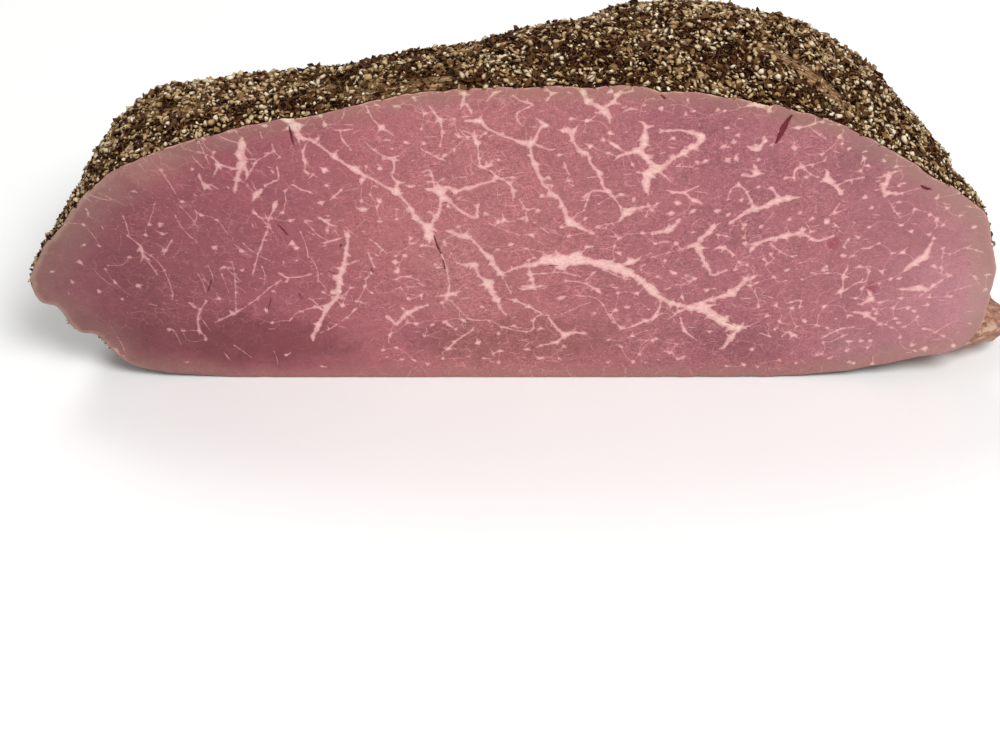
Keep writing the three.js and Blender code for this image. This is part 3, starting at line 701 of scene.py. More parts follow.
# ---- the cut face's points ----------------------------------------------------------
STEP = 0.46
hx = np.arange(-126, 136, STEP)
hz = np.arange(0, 102, STEP * math.sqrt(3) / 2)
gx, gz = np.meshgrid(hx, hz)
gx = gx + (np.arange(len(hz)) % 2)[:, None] * STEP / 2
coarse = ((np.arange(len(hz)) % 2 == 0)[:, None]) & ((np.arange(len(hx)) + np.arange(len(hz))[:, None] // 2) % 2 == 0)[:, :]
grid = np.stack([gx.ravel(), gz.ravel()], 1) + rng.uniform(-0.07, 0.07, (gx.size, 2))
coarse = coarse.ravel()
keep = inside(grid)
grid, coarse = grid[keep], coarse[keep]
d_grid, _ = outline_distance(grid[:1]) if len(grid) == 0 else outline_distance(grid)
keep = d_grid > 0.85
grid, coarse, d_grid = grid[keep], coarse[keep], d_grid[keep]
near_seam = np.maximum(seam_field(grid, runs + small, 0.6), seam_field(grid, wisps, 0.1) - 0.1) > -0.5
near_slit = seam_field(grid, slits, 0.2) > -0.9
grid = grid[near_seam | near_slit | coarse | (d_grid < 2.0)]

CELL = 0.08
occupied = np.zeros((int(270 / CELL), int(110 / CELL)), bool)


def cell_of(q):
    return np.clip(((q[..., 0] + 130) / CELL).astype(int), 0, occupied.shape[0] - 1), np.clip(((q[..., 1] + 2) / CELL).astype(int), 0, occupied.shape[1] - 1)


def disc(radius):
    m = int(radius / CELL) + 1
    a, b = np.meshgrid(np.arange(-m, m + 1), np.arange(-m, m + 1))
    ok = a**2 + b**2 <= (radius / CELL) ** 2
    return a[ok], b[ok]


def place(points, radius):
    """Keeps those of the points that have no kept point within the radius, in order."""
    a, b = disc(radius)
    i, j = cell_of(points)
    kept = []
    for n in range(len(points)):
        if not occupied[i[n], j[n]]:
            kept.append(n)
            ii = np.clip(i[n] + a, 0, occupied.shape[0] - 1)
            jj = np.clip(j[n] + b, 0, occupied.shape[1] - 1)
            occupied[ii, jj] = True
    return points[kept]


# two rings inside the outline carry the rounded edge
tangent = np.roll(outline, -1, 0) - np.roll(outline, 1, 0)
inward = np.stack([-tangent[:, 1], tangent[:, 0]], 1) / np.maximum(np.linalg.norm(tangent, axis=1, keepdims=True), 1e-9)
rings = []
for inset in (0.2, 0.5):
    r = outline + inward * inset
    dr, _ = outline_distance(r)
    rings.append(r[inside(r) & (dr > inset * 0.8)])
ring_points = np.concatenate(rings)
lines = np.concatenate([k[:, :2] for k in slits + runs + small + wisps])
ok = inside(lines)
lines = lines[ok]
dl, _ = outline_distance(lines)
lines = lines[dl > 0.75]
lines = place(lines, 0.3)
i, j = cell_of(grid)
grid = grid[~occupied[i, j]]
inner = np.concatenate([ring_points, lines, grid])
print("face points", len(outline), len(ring_points), len(lines), len(grid))

flat = np.concatenate([outline, inner])
cdt = delaunay_2d_cdt([Vector(v) for v in flat.tolist()], [(i, (i + 1) % n_out) for i in range(n_out)], [], 1, 1e-5)
face_xy = np.array([tuple(v) for v in cdt[0]])
face_tris = np.array([f for f in cdt[2] if len(f) == 3], int)
came_from = cdt[3]
where = {}
for new, old in enumerate(came_from):
    for o in old:
        where.setdefault(o, new)
out_index = np.array([where[i] for i in range(n_out)])   # outline vertex of the cut face
# triangles turn counterclockwise seen from the front
a, b, c = face_xy[face_tris[:, 0]], face_xy[face_tris[:, 1]], face_xy[face_tris[:, 2]]
turn = (b[:, 0] - a[:, 0]) * (c[:, 1] - a[:, 1]) - (b[:, 1] - a[:, 1]) * (c[:, 0] - a[:, 0])
face_tris[turn < 0] = face_tris[turn < 0][:, ::-1]
face_tris = face_tris[np.abs(turn) > 1e-7]

d_face, k_face = outline_distance(face_xy)
d_face[out_index] = 0.0
fat = seam_field(face_xy, runs + small, 0.65)
wisp = seam_field(face_xy, wisps, 0.15)
slit = seam_field(face_xy, slits, 0.2)
q3 = np.stack([face_xy[:, 0], 0 * face_xy[:, 0], face_xy[:, 1]], 1)
edge = np.maximum(0, 1 - d_face / 0.5)
face_y = BEVEL * edge**2
inner_w = smooth(0.3, 4, d_face)
relief = 0.34 * noise(q3, 17, 21) + 0.16 * noise(q3, 6.5, 22) + 0.05 * noise(q3, 2.2, 23)
face_y += inner_w * (0.28 + relief * 0.6)
face_y -= inner_w * 0.05 * smooth(-0.1, 0.3, fat)
face_y += 0.55 * smooth(-0.25, 0.35, slit)
face_y = np.maximum(face_y, 0.0)
face_y[out_index] = BEVEL
face_pts = np.stack([face_xy[:, 0], face_y, face_xy[:, 1]], 1)

# how far the cooked rim reaches in from each part of the outline
ox, oz = outline[k_face, 0], outline[k_face, 1]
on_top = k_face > len(BOTTOM) + 1
reach = np.where(on_top, 6.5 + 8.0 * smooth(-50, -105, ox) + 4.0 * smooth(85, 125, ox), 6.0 + 3.0 * smooth(60, 110, ox) + 5 * smooth(-60, -110, ox))
rim = 1 - smooth(0.0, 1.0, (d_face + 0.8 * noise(q3, 5, 31)) / reach)
print("face", len(face_pts), len(face_tris))

# ---- one closed mesh of the outside and the cut face ----------------------------------
n_face = len(face_pts)
shell_index = np.empty((STATIONS - 1, ROWS), int)
n_b = len(BOTTOM)
shell_index[:, ROWS - 1] = out_index[1:1 + n_b]
shell_index[:, 0] = out_index[n_b + 2:n_b + 2 + n_b][::-1]
shell_index[:, 1:ROWS - 1] = n_face + np.arange((STATIONS - 1) * (ROWS - 2)).reshape(STATIONS - 1, ROWS - 2)
pole = (out_index[0], out_index[1 + n_b])
shell_pts = P[:, 1:ROWS - 1].reshape(-1, 3)
verts = np.concatenate([face_pts, shell_pts])

A, B = shell_index[:-1, :-1].ravel(), shell_index[1:, :-1].ravel()
C, D = shell_index[1:, 1:].ravel(), shell_index[:-1, 1:].ravel()
quads = np.stack([A, B, C, D], 1)
tri_shell = np.concatenate([quads[:, [0, 1, 2]], quads[:, [0, 2, 3]]])
left = np.stack([np.full(ROWS - 1, pole[0]), shell_index[0, :-1], shell_index[0, 1:]], 1)
right = np.stack([np.full(ROWS - 1, pole[1]), shell_index[-1, 1:], shell_index[-1, :-1]], 1)
tri_shell = np.concatenate([tri_shell, left, right])


def turned_out(tris, pts, centre):
    a, b, c = pts[tris[:, 0]], pts[tris[:, 1]], pts[tris[:, 2]]
    return (np.cross(b - a, c - a) * ((a + b + c) / 3 - centre)).sum(1).mean() > 0


if not turned_out(tri_shell, verts, np.array([MIDDLE_X, 25, 40])):
    tri_shell = tri_shell[:, ::-1]
tris = np.concatenate([face_tris, tri_shell])
mat_of = np.concatenate([np.zeros(len(face_tris), int), np.ones(len(tri_shell), int)])


def to_frame(p):
    return (np.asarray(p) + OFFSET) * 0.001


def mesh_of(name, pts, tris, attributes=(), uv=None, material_index=None, smooth_all=True):
    me = bpy.data.meshes.new(name)
    me.vertices.add(len(pts))
    me.vertices.foreach_set("co", np.ascontiguousarray(pts, np.float32).ravel())
    me.loops.add(len(tris) * 3)
    me.loops.foreach_set("vertex_index", np.ascontiguousarray(tris, np.int32).ravel())
    me.polygons.add(len(tris))
    me.polygons.foreach_set("loop_start", np.arange(0, len(tris) * 3, 3, dtype=np.int32))
    me.polygons.foreach_set("loop_total", np.full(len(tris), 3, np.int32))
    me.polygons.foreach_set("use_smooth", np.full(len(tris), smooth_all))
    if material_index is not None:
        me.polygons.foreach_set("material_index", np.ascontiguousarray(material_index, np.int32))
    for key, values in attributes:
        at = me.attributes.new(key, "FLOAT", "POINT")
        at.data.foreach_set("value", np.ascontiguousarray(values, np.float32))
    if uv is not None:
        layer = me.uv_layers.new(name="OFBake")
        layer.data.foreach_set("uv", np.ascontiguousarray(uv, np.float32).ravel())
    me.update(calc_edges=True)
    me.validate(clean_customdata=False)
    ob = bpy.data.objects.new(name, me)
    bpy.context.collection.objects.link(ob)
    return ob


# bare places of the outside, by where they show in the frame: runs of (across, down, half width), and how bare
BARE = [
    ([(765, 47, 5), (782, 58, 5), (800, 68, 7), (815, 80, 8), (830, 93, 7), (842, 103, 5)], 1.0),
    ([(312, 86, 7), (345, 84, 7)], 0.75),
    ([(350, 92, 9), (385, 88, 11), (430, 84, 8), (448, 80, 6)], 0.85),
    ([(136, 120, 5), (165, 112, 6), (203, 104, 5)], 0.85),
    ([(176, 122, 3.5), (186, 117, 3.5)], 0.9),
    ([(896, 121, 4), (902, 129, 4)], 0.9),
    ([(205, 99, 3.5), (232, 93, 3.5)], 0.55),
    ([(655, 42, 4), (672, 35, 4)], 0.5),
    ([(265, 93, 3), (292, 90, 3)], 0.5),
    ([(705, 66, 3), (728, 70, 3)], 0.4),
]


def bareness(p, n):
    u, v = to_pixel(p)
    facing = ((p - EYE) * n).sum(-1) < 0
    b = np.zeros(p.shape[:-1])
    ragged = 0.55 * noise(p, 3.2, 41) + 0.35 * noise(p, 1.5, 42)
    for run, amount in BARE:
        for (x0, y0, w0), (x1, y1, w1) in zip(run, run[1:]):
            dx, dy = x1 - x0, y1 - y0
            t = np.clip(((u - x0) * dx + (v - y0) * dy) / (dx * dx + dy * dy), 0, 1)
            d = np.hypot(u - x0 - t * dx, v - y0 - t * dy) / (w0 + (w1 - w0) * t)
            b = np.maximum(b, amount * smooth(1.15, 0.75, d + 0.35 * ragged) * facing)
    return b


def ends_bare(p):
    """A ragged strip behind the lower right cut edge and the tip of the left lobe, which the pepper leaves free."""
    behind = p[..., 1] + 3.2 * noise(p, 7, 65) + 1.6 * noise(p, 2.8, 66)
    right = smooth(106, 118, p[..., 0] + 5 * noise(p, 8, 62)) * smooth(67, 60, p[..., 2] + 2.5 * noise(p, 4, 64)) * smooth(9.5, 2.5, behind)
    left = smooth(-112, -119, p[..., 0]) * smooth(42, 37, p[..., 2] + 1.5 * noise(p, 4, 64))
    return np.maximum(right, left)


bare_shell = bareness(P, N)
cooked_low = np.maximum(smooth(17, 3, P[..., 2] + 4 * noise(P, 9, 67) + 2 * noise(P, 3.5, 68)), ends_bare(P))


def full(values_face, shell_values):
    """One value for each vertex of the whole mesh."""
    return np.concatenate([values_face, shell_values[:, 1:ROWS - 1].ravel()])


zero = np.zeros(P.shape[:2])
attributes = [
    ("fat", full(fat, zero - 2)),
    ("wisp", full(wisp, zero - 2)),
    ("slit", full(slit, zero - 2)),
    ("depth", full(d_face, zero)),
    ("rim", full(rim, zero + 1)),
    ("bare", full(0 * fat, bare_shell)),
    ("low", full(0 * fat, cooked_low)),
]

# bake map: the cut face flat in the lower band, the outside unrolled above it
uv = np.empty((len(tris), 3, 2))
f_uv = (face_xy - [-126.0, -1.0]) / 262.0
uv[:len(face_tris)] = f_uv[face_tris] * 0.98 + 0.01
su = np.empty(len(verts)); sv = np.empty(len(verts))
arc = np.concatenate([np.zeros((STATIONS - 1, 1)), np.cumsum(np.linalg.norm(np.diff(P, axis=1), axis=-1), 1)], 1)
arc_v = arc / arc.max()
col = np.broadcast_to(((np.arange(STATIONS - 1) + 1) / STATIONS)[:, None], arc.shape)
col = 0.5 + 0.5 * np.sin(np.radians(-90 + 180 * col))
su[shell_index.ravel()] = col.ravel()
sv[shell_index.ravel()] = arc_v.ravel()
for e, at in ((0, 0.0), (1, 1.0)):
    su[pole[e]], sv[pole[e]] = at, 0.002
s_tri = np.stack([su[tri_shell], sv[tri_shell]], -1)
# a pole's corner lies beside the other two, so that no face is without width
for e, at in ((0, 0.0), (1, 1.0)):
    hit = tri_shell == pole[e]
    rows = hit.any(1)
    mean_v = (s_tri[..., 1] * ~hit).sum(1) / np.maximum((~hit).sum(1), 1)
    s_tri[..., 1] = np.where(hit, mean_v[:, None], s_tri[..., 1])
uv[len(face_tris):, :, 0] = 0.01 + 0.98 * s_tri[..., 0]
uv[len(face_tris):, :, 1] = 0.42 + 0.57 * s_tri[..., 1]

meat = mesh_of("roast_meat", to_frame(verts), tris, attributes, uv, mat_of)
print("meat", len(verts), len(tris))

# ---- the tail of meat at the right end ---------------------------------------------
TAIL_AT, TAIL_HALF, TAIL_LEAN, TAIL_DROOP = np.array([121.0, 16.0, 11.0]), (20.5, 13.5, 8.0), math.radians(-7), 0.006


def tail_mesh():
    n_u, n_v = 96, 48
    th = np.linspace(0, math.pi, n_v + 1)[1:-1]
    ph = np.linspace(0, 2 * math.pi, n_u, endpoint=False)
    s = np.stack([np.cos(ph)[None] * np.sin(th)[:, None], np.cos(th)[:, None] * np.ones(n_u), np.sin(ph)[None] * np.sin(th)[:, None]], -1).reshape(-1, 3)
    s = np.concatenate([s, [[0, 1, 0], [0, -1, 0]]])
    x = s[:, 0] * TAIL_HALF[0]
    y = s[:, 1] * TAIL_HALF[1] * (1 - 0.25 * s[:, 0])
    z = s[:, 2] * TAIL_HALF[2] * (1 - 0.2 * s[:, 0]) - TAIL_DROOP * np.maximum(0, x) ** 2
    p = np.stack([TAIL_AT[0] + x * math.cos(TAIL_LEAN) - y * math.sin(TAIL_LEAN), TAIL_AT[1] + x * math.sin(TAIL_LEAN) + y * math.cos(TAIL_LEAN), TAIL_AT[2] + z], 1)
    p += s * (1.3 * noise(p, 8, 51) + 0.6 * noise(p, 3.4, 52) + 0.2 * noise(p, 1.4, 53))[:, None]
    p[:, 2] = np.maximum(p[:, 2], 0.05)
    f = []
    for r in range(n_v - 2):
        for c in range(n_u):
            a, b = r * n_u + c, r * n_u + (c + 1) % n_u
            f += [(a, b, b + n_u), (a, b + n_u, a + n_u)]
    top, bot = len(p) - 2, len(p) - 1
    for c in range(n_u):
        f.append((top, (c + 1) % n_u, c))
        f.append((bot, (n_v - 2) * n_u + c, (n_v - 2) * n_u + (c + 1) % n_u))
    f = np.array(f)
    if not turned_out(f, p, TAIL_AT):
        f = f[:, ::-1]
    lon = np.degrees(np.arctan2(s[:, 2], s[:, 0])) / 360 + 0.5
    lat = 0.5 + 0.5 * s[:, 1]
    t = np.stack([lon[f], lat[f]], -1)
    wrap = (t[..., 0].max(1) - t[..., 0].min(1)) > 0.5
    t[wrap, :, 0] = np.where(t[wrap, :, 0] < 0.5, t[wrap, :, 0] + 1, t[wrap, :, 0])
    for pole_index in (top, bot):
        hit = f == pole_index
        m = (t[..., 0] * ~hit).sum(1) / np.maximum((~hit).sum(1), 1)
        t[..., 0] = np.where(hit, m[:, None], t[..., 0])
    t = 0.02 + t * np.array([0.92 / 1.05, 0.96])
    return p, f, t


tail_pts, tail_tris, tail_uv = tail_mesh()
tail = mesh_of("roast_tail", to_frame(tail_pts), tail_tris, [], tail_uv)

# ---- cracked pepper ------------------------------------------------------------------
def base_shape(kind):
    if kind == "ico":
        g = (1 + math.sqrt(5)) / 2
        v = np.array([(-1, g, 0), (1, g, 0), (-1, -g, 0), (1, -g, 0), (0, -1, g), (0, 1, g), (0, -1, -g), (0, 1, -g), (g, 0, -1), (g, 0, 1), (-g, 0, -1), (-g, 0, 1)], float)
        v /= np.linalg.norm(v[0])
        f = np.array([(0, 11, 5), (0, 5, 1), (0, 1, 7), (0, 7, 10), (0, 10, 11), (1, 5, 9), (5, 11, 4), (11, 10, 2), (10, 7, 6), (7, 1, 8), (3, 9, 4), (3, 4, 2), (3, 2, 6), (3, 6, 8), (3, 8, 9), (4, 9, 5), (2, 4, 11), (6, 2, 10), (8, 6, 7), (9, 8, 1)])
    elif kind == "chip":     # six corners round a flat lens
        a = np.arange(6) * math.pi / 3
        v = np.concatenate([np.stack([np.cos(a), np.sin(a), 0 * a], 1), [[0, 0, 1], [0, 0, -1]]])
        f = np.array([(i, (i + 1) % 6, 6) for i in range(6)] + [((i + 1) % 6, i, 7) for i in range(6)])
    else:
        v = np.array([(1, 0, 0), (-1, 0, 0), (0, 1, 0), (0, -1, 0), (0, 0, 1), (0, 0, -1)], float)
        f = np.array([(0, 2, 4), (2, 1, 4), (1, 3, 4), (3, 0, 4), (2, 0, 5), (1, 2, 5), (3, 1, 5), (0, 3, 5)])
    lon = np.arctan2(v[:, 1], v[:, 0]) / (2 * math.pi) + 0.5
    t = np.stack([lon[f], 0.5 + 0.5 * v[:, 2][f]], -1)
    wrap = (t[..., 0].max(1) - t[..., 0].min(1)) > 0.5
    t[wrap, :, 0] = np.where(t[wrap, :, 0] < 0.5, t[wrap, :, 0] + 1, t[wrap, :, 0])
    for i in range(len(f)):   # a corner on the axis takes the place between the other two
        for c in range(3):
            if abs(v[f[i, c], 2]) > 0.999:
                o = [x for x in range(3) if x != c]
                t[i, c, 0] = t[i, o, 0].mean()
    t[..., 0] /= max(1.0, t[..., 0].max())
    return v, f, t


def grains(name, shape, at, normal, size, flat, seed, tilt=0.6, sink=0.25, jag=0.2, narrow=(0.5, 0.92), soft=False):
    """Joined small angular grains lying on the skin, as one mesh. size is each grain's length."""
    r = np.random.default_rng(seed)
    v, f, t = base_shape(shape)
    n, m = len(at), len(v)
    rim = 1 - np.abs(v[:, 2])
    v = v[None] * (1 + jag * r.uniform(-1, 1, (n, m, 1))) + 0.5 * jag * r.uniform(-1, 1, (n, m, 3))
    if shape == "chip":      # the top of a chip is off its middle, and it is bent
        v[:, 6:, :2] += r.uniform(-0.55, 0.55, (n, 2, 2))
        v[:, :6, 2] += r.uniform(-0.5, 0.5, (n, 1)) * (v[:, :6, 0] ** 2 - 0.4)
    scale = np.stack([np.ones(n), r.uniform(*narrow, n), r.uniform(*flat, n)], 1) * size[:, None] * 0.5
    v = v * scale[:, None]
    up = normal + tilt * r.normal(0, 0.5, (n, 3))
    up /= np.linalg.norm(up, axis=1, keepdims=True)
    side = np.cross(up, r.normal(size=(n, 3)))
    side /= np.linalg.norm(side, axis=1, keepdims=True)
    third = np.cross(up, side)
    frame_of = np.stack([side, third, up], 1)      # rows are the grain's own axes
    v = np.einsum("nmi,nij->nmj", v, frame_of)
    centre = at + normal * (scale[:, 2] * (1 - sink) * r.uniform(0.6, 1.3, n))[:, None]
    v = v + centre[:, None]
    v[..., 2] = np.maximum(v[..., 2], 0.02)
    tone = r.uniform(0, 1, n)
    side_n = int(math.ceil(math.sqrt(n)))
    cell = np.stack([np.arange(n) % side_n, np.arange(n) // side_n], 1) / side_n
    uv = cell[:, None, None] + (0.12 + 0.76 * t)[None] / side_n
    tri = (f[None] + (np.arange(n) * m)[:, None, None]).reshape(-1, 3)
    ob = mesh_of(name, to_frame(v.reshape(-1, 3)), tri, [("tone", np.repeat(tone, m)), ("edge", np.tile(rim, n))], uv.reshape(-1, 3, 2), smooth_all=soft)
    print(name, n, len(tri))
    return ob


# where grains may lie: quads of the outside, by area and how covered each part is
quad_p = P[:-1, :-1], P[1:, :-1], P[1:, 1:], P[:-1, 1:]
area = 0.5 * np.linalg.norm(np.cross(quad_p[2] - quad_p[0], quad_p[3] - quad_p[1]), axis=-1)
centre = sum(quad_p) / 4
cn = N[:-1, :-1] + N[1:, :-1] + N[1:, 1:] + N[:-1, 1:]
cn /= np.maximum(np.linalg.norm(cn, axis=-1, keepdims=True), 1e-9)


def cover(p, n):
    """From 0, bare, to 1, covered with pepper."""
    c = smooth(-0.75, -0.1, n[..., 2])                    # thins out below
    c = c * smooth(0, 19, p[..., 2] + 5 * noise(p, 10, 61) + 2.5 * noise(p, 4, 69))
    c = c * (1 - ends_bare(p) * (0.86 + 0.14 * smooth(4.0, 2.0, p[..., 1])))
    c = c * (1 - 0.97 * bareness(p, n))
    c = c * (0.86 + 0.14 * smooth(-0.5, 0.1, noise(p, 13, 63)))
    return c


weight = (area * np.maximum(cover(centre, cn), 0)).ravel()
total = weight.sum()
print("pepper area", total)
picks = rng.choice(len(weight), size=150000, p=weight / total)
ci, cj = np.unravel_index(picks, area.shape)
s, t = rng.uniform(size=(2, len(picks)))
w = np.stack([(1 - s) * (1 - t), s * (1 - t), s * t, (1 - s) * t], 1)[..., None]
pos = w[:, 0:1, 0] * P[ci, cj] + w[:, 1:2, 0] * P[ci + 1, cj] + w[:, 2:3, 0] * P[ci + 1, cj + 1] + w[:, 3:4, 0] * P[ci, cj + 1]
nor = w[:, 0:1, 0] * N[ci, cj] + w[:, 1:2, 0] * N[ci + 1, cj] + w[:, 2:3, 0] * N[ci + 1, cj + 1] + w[:, 3:4, 0] * N[ci, cj + 1]
nor /= np.linalg.norm(nor, axis=1, keepdims=True)

# larger grains find their places first, then smaller ones fill between them; some lie on others
want = np.concatenate([rng.uniform(1.7, 2.4, 6000), rng.uniform(1.2, 1.8, 48000), rng.uniform(0.72, 1.2, 51000), rng.uniform(0.4, 0.72, 45000)])
raised = np.where(rng.uniform(size=len(want)) < 0.35, rng.uniform(0.2, 0.7, len(want)), 0.0) * smooth(0.5, 4, pos[:, 1])
thin_end = smooth(-92, -116, pos[:, 0]) + 0.6 * smooth(92, 108, pos[:, 0])
raised = raised * (1 - thin_end)
want = want * (1 - 0.22 * thin_end)
pos = pos + nor * raised[:, None]
order = np.arange(len(pos))
spots = {}
chosen = []
GRID = 1.6
keys = np.floor(pos / GRID).astype(int)
for n in order:
    x, y, z = pos[n]
    if y < 0.08 + 0.22 * want[n]:
        continue
    kx, ky, kz = keys[n]
    free = True
    for ax in (kx - 1, kx, kx + 1):
        for ay in (ky - 1, ky, ky + 1):
            for az in (kz - 1, kz, kz + 1):
                for (x2, y2, z2, s2) in spots.get((ax, ay, az), ()):
                    lim = 0.31 * (want[n] + s2)
                    if (x - x2) ** 2 + (y - y2) ** 2 + (z - z2) ** 2 < lim * lim:
                        free = False
                        break
                if not free:
                    break
            if not free:
                break
        if not free:
            break
    if free:
        spots.setdefault((kx, ky, kz), []).append((x, y, z, want[n]))
        chosen.append(n)
chosen = np.array(chosen)
pos, nor, want = pos[chosen], nor[chosen], want[chosen]
print("grains", len(pos), np.histogram(want, [0, 0.9, 1.5, 2.2, 3])[0])

cluster = 0.65 * noise(pos, 6.5, 71) + 0.45 * noise(pos, 2.6, 72)
pick = rng.uniform(size=len(pos))
big = want >= 0.72
p_dark = 0.46 + 0.62 * cluster - 0.16 * smooth(15, 62, pos[:, 0]) - 0.17 * smooth(-18, -55, pos[:, 0])
p_cream = (1 - p_dark) * (0.50 + 0.22 * smooth(4.0, 0.5, pos[:, 1]) + 0.08 * smooth(-70, -110, pos[:, 0]) + 0.06 * smooth(60, 95, pos[:, 0]))
kind = np.where(pick < p_dark, 0, np.where(pick < p_dark + p_cream, 1, 2))

pieces = []
for number, name, size, flat, narrow, tilt, sink, jag, soft in (
        (0, "pepper_dark", 1.30, (0.25, 0.6), (0.38, 0.85), 1.1, 0.3, 0.3, False),
        (1, "pepper_cream", 1.26, (0.34, 0.68), (0.44, 0.84), 0.8, 0.2, 0.32, True),
        (2, "pepper_brown", 1.20, (0.25, 0.6), (0.4, 0.9), 1.0, 0.3, 0.3, False)):
    sel = np.nonzero(big & (kind == number))[0][:16600]
    pieces.append(grains(name, "chip", pos[sel], nor[sel], want[sel] * size, flat, 101 + number, tilt, sink, jag, narrow, soft))
sel = np.nonzero(~big)[0][:20000]
pieces.append(grains("pepper_fine", "octa", pos[sel], nor[sel], want[sel] * 1.25, (0.4, 0.8), 104, tilt=1.0, sink=0.1, jag=0.3))


# ---- materials --------------------------------------------------------------------------
def srgb(r, g, b):
    f = lambda c: c / 12.92 if c <= 0.04045 else ((c + 0.055) / 1.055) ** 2.4
    return (f(r / 255), f(g / 255), f(b / 255), 1.0)


class Nodes:
    """Short names for the nodes of one material."""

    def __init__(self, name, roughness=0.5, specular=0.4):
        self.material = bpy.data.materials.new(name)
        self.material.use_nodes = True
        self.tree = self.material.node_tree
        self.tree.nodes.clear()
        self.out = self.tree.nodes.new("ShaderNodeOutputMaterial")
        self.shader = self.tree.nodes.new("ShaderNodeBsdfPrincipled")
        self.shader.inputs["Roughness"].default_value = roughness
        self.shader.inputs["Specular IOR Level"].default_value = specular
        self.tree.links.new(self.shader.outputs[0], self.out.inputs[0])
        co = self.tree.nodes.new("ShaderNodeTexCoord")
        scale = self.tree.nodes.new("ShaderNodeVectorMath")
        scale.operation = "SCALE"
        scale.inputs["Scale"].default_value = 1000.0
        self.tree.links.new(co.outputs["Object"], scale.inputs[0])
        self.mm = scale.outputs[0]

    def put(self, socket, value):
        if isinstance(value, bpy.types.NodeSocket):
            self.tree.links.new(value, socket)
        elif value is not None:
            socket.default_value = value[:3] if socket.type == "VECTOR" and len(value) == 4 else value

    def attribute(self, name):
        n = self.tree.nodes.new("ShaderNodeAttribute")
        n.attribute_name = name
        return n.outputs["Fac"]

    def math(self, op, a, b=None, c=None, clamp=False):
        n = self.tree.nodes.new("ShaderNodeMath")
        n.operation = op
        n.use_clamp = clamp
        for s, v in zip(n.inputs, (a, b, c)):
            self.put(s, v)
        return n.outputs[0]

    def add(self, a, b):
        return self.math("ADD", a, b)

    def mul(self, a, b):
        return self.math("MULTIPLY", a, b)

    def remap(self, x, a, b, c=0.0, d=1.0, kind="SMOOTHSTEP"):
        n = self.tree.nodes.new("ShaderNodeMapRange")
        n.interpolation_type = kind
        for s, v in zip(n.inputs, (x, a, b, c, d)):
            self.put(s, v)
        return n.outputs[0]

    def noise(self, size, detail=2.0, rough=0.5, vector=None, distortion=0.0):
        n = self.tree.nodes.new("ShaderNodeTexNoise")
        n.inputs["Scale"].default_value = 1.0 / size
        n.inputs["Detail"].default_value = detail
        n.inputs["Roughness"].default_value = rough
        n.inputs["Distortion"].default_value = distortion
        self.put(n.inputs["Vector"], vector or self.mm)
        return n.outputs["Fac"]

    def noise_vector(self, size, amount, vector=None):
        n = self.tree.nodes.new("ShaderNodeTexNoise")
        n.inputs["Scale"].default_value = 1.0 / size
        n.inputs["Detail"].default_value = 2.0
        self.put(n.inputs["Vector"], vector or self.mm)
        s = self.tree.nodes.new("ShaderNodeVectorMath")
        s.operation = "MULTIPLY_ADD"
        self.tree.links.new(n.outputs["Color"], s.inputs[0])
        s.inputs[1].default_value = (amount,) * 3
        self.put(s.inputs[2], vector or self.mm)
        return s.outputs[0]

    def voronoi(self, size, feature="F1", vector=None, randomness=1.0, out="Distance"):
        n = self.tree.nodes.new("ShaderNodeTexVoronoi")
        n.feature = feature
        n.inputs["Scale"].default_value = 1.0 / size
        n.inputs["Randomness"].default_value = randomness
        self.put(n.inputs["Vector"], vector or self.mm)
        return n.outputs[out]

    def turned(self, angle=(0, 0, 0), scale=(1, 1, 1), vector=None):
        n = self.tree.nodes.new("ShaderNodeMapping")
        n.inputs["Rotation"].default_value = angle
        n.inputs["Scale"].default_value = scale
        self.put(n.inputs["Vector"], vector or self.mm)
        return n.outputs[0]

    def split(self, vector=None):
        n = self.tree.nodes.new("ShaderNodeSeparateXYZ")
        self.put(n.inputs[0], vector or self.mm)
        return n.outputs

    def mix(self, fac, a, b, how="MIX"):
        n = self.tree.nodes.new("ShaderNodeMix")
        n.data_type = "RGBA"
        n.blend_type = how
        n.clamp_factor = True
        self.put(n.inputs["Factor"], fac)
        self.put([s for s in n.inputs if s.name == "A" and s.type == "RGBA"][0], a)
        self.put([s for s in n.inputs if s.name == "B" and s.type == "RGBA"][0], b)
        return [s for s in n.outputs if s.type == "RGBA"][0]

    def ramp(self, fac, stops, how="LINEAR"):
        n = self.tree.nodes.new("ShaderNodeValToRGB")
        n.color_ramp.interpolation = how
        e = n.color_ramp.elements
        while len(e) < len(stops):
            e.new(0.5)
        for i, (at, colour) in enumerate(stops):
            e[i].position = at
            e[i].color = colour
        self.put(n.inputs[0], fac)
        return n.outputs[0]

    def shade(self, colour, value, amount):
        """The colour made lighter and darker by a value around 0.5."""
        f = self.remap(value, 0.0, 1.0, 1 - amount, 1 + amount, "LINEAR")
        n = self.tree.nodes.new("ShaderNodeVectorMath")
        n.operation = "SCALE"
        self.put(n.inputs[0], colour)
        self.put(n.inputs["Scale"], f)
        return n.outputs[0]

    def bump(self, height, distance, strength=1.0, after=None):
        n = self.tree.nodes.new("ShaderNodeBump")
        n.inputs["Strength"].default_value = strength
        n.inputs["Distance"].default_value = distance * 0.001
        self.put(n.inputs["Height"], height)
        if after is not None:
            self.put(n.inputs["Normal"], after)
        return n.outputs[0]

    def finish(self, colour, normal=None, roughness=None):
        self.put(self.shader.inputs["Base Color"], colour)
        if normal is not None:
            self.put(self.shader.inputs["Normal"], normal)
        if roughness is not None:
            self.put(self.shader.inputs["Roughness"], roughness)
        return self.material


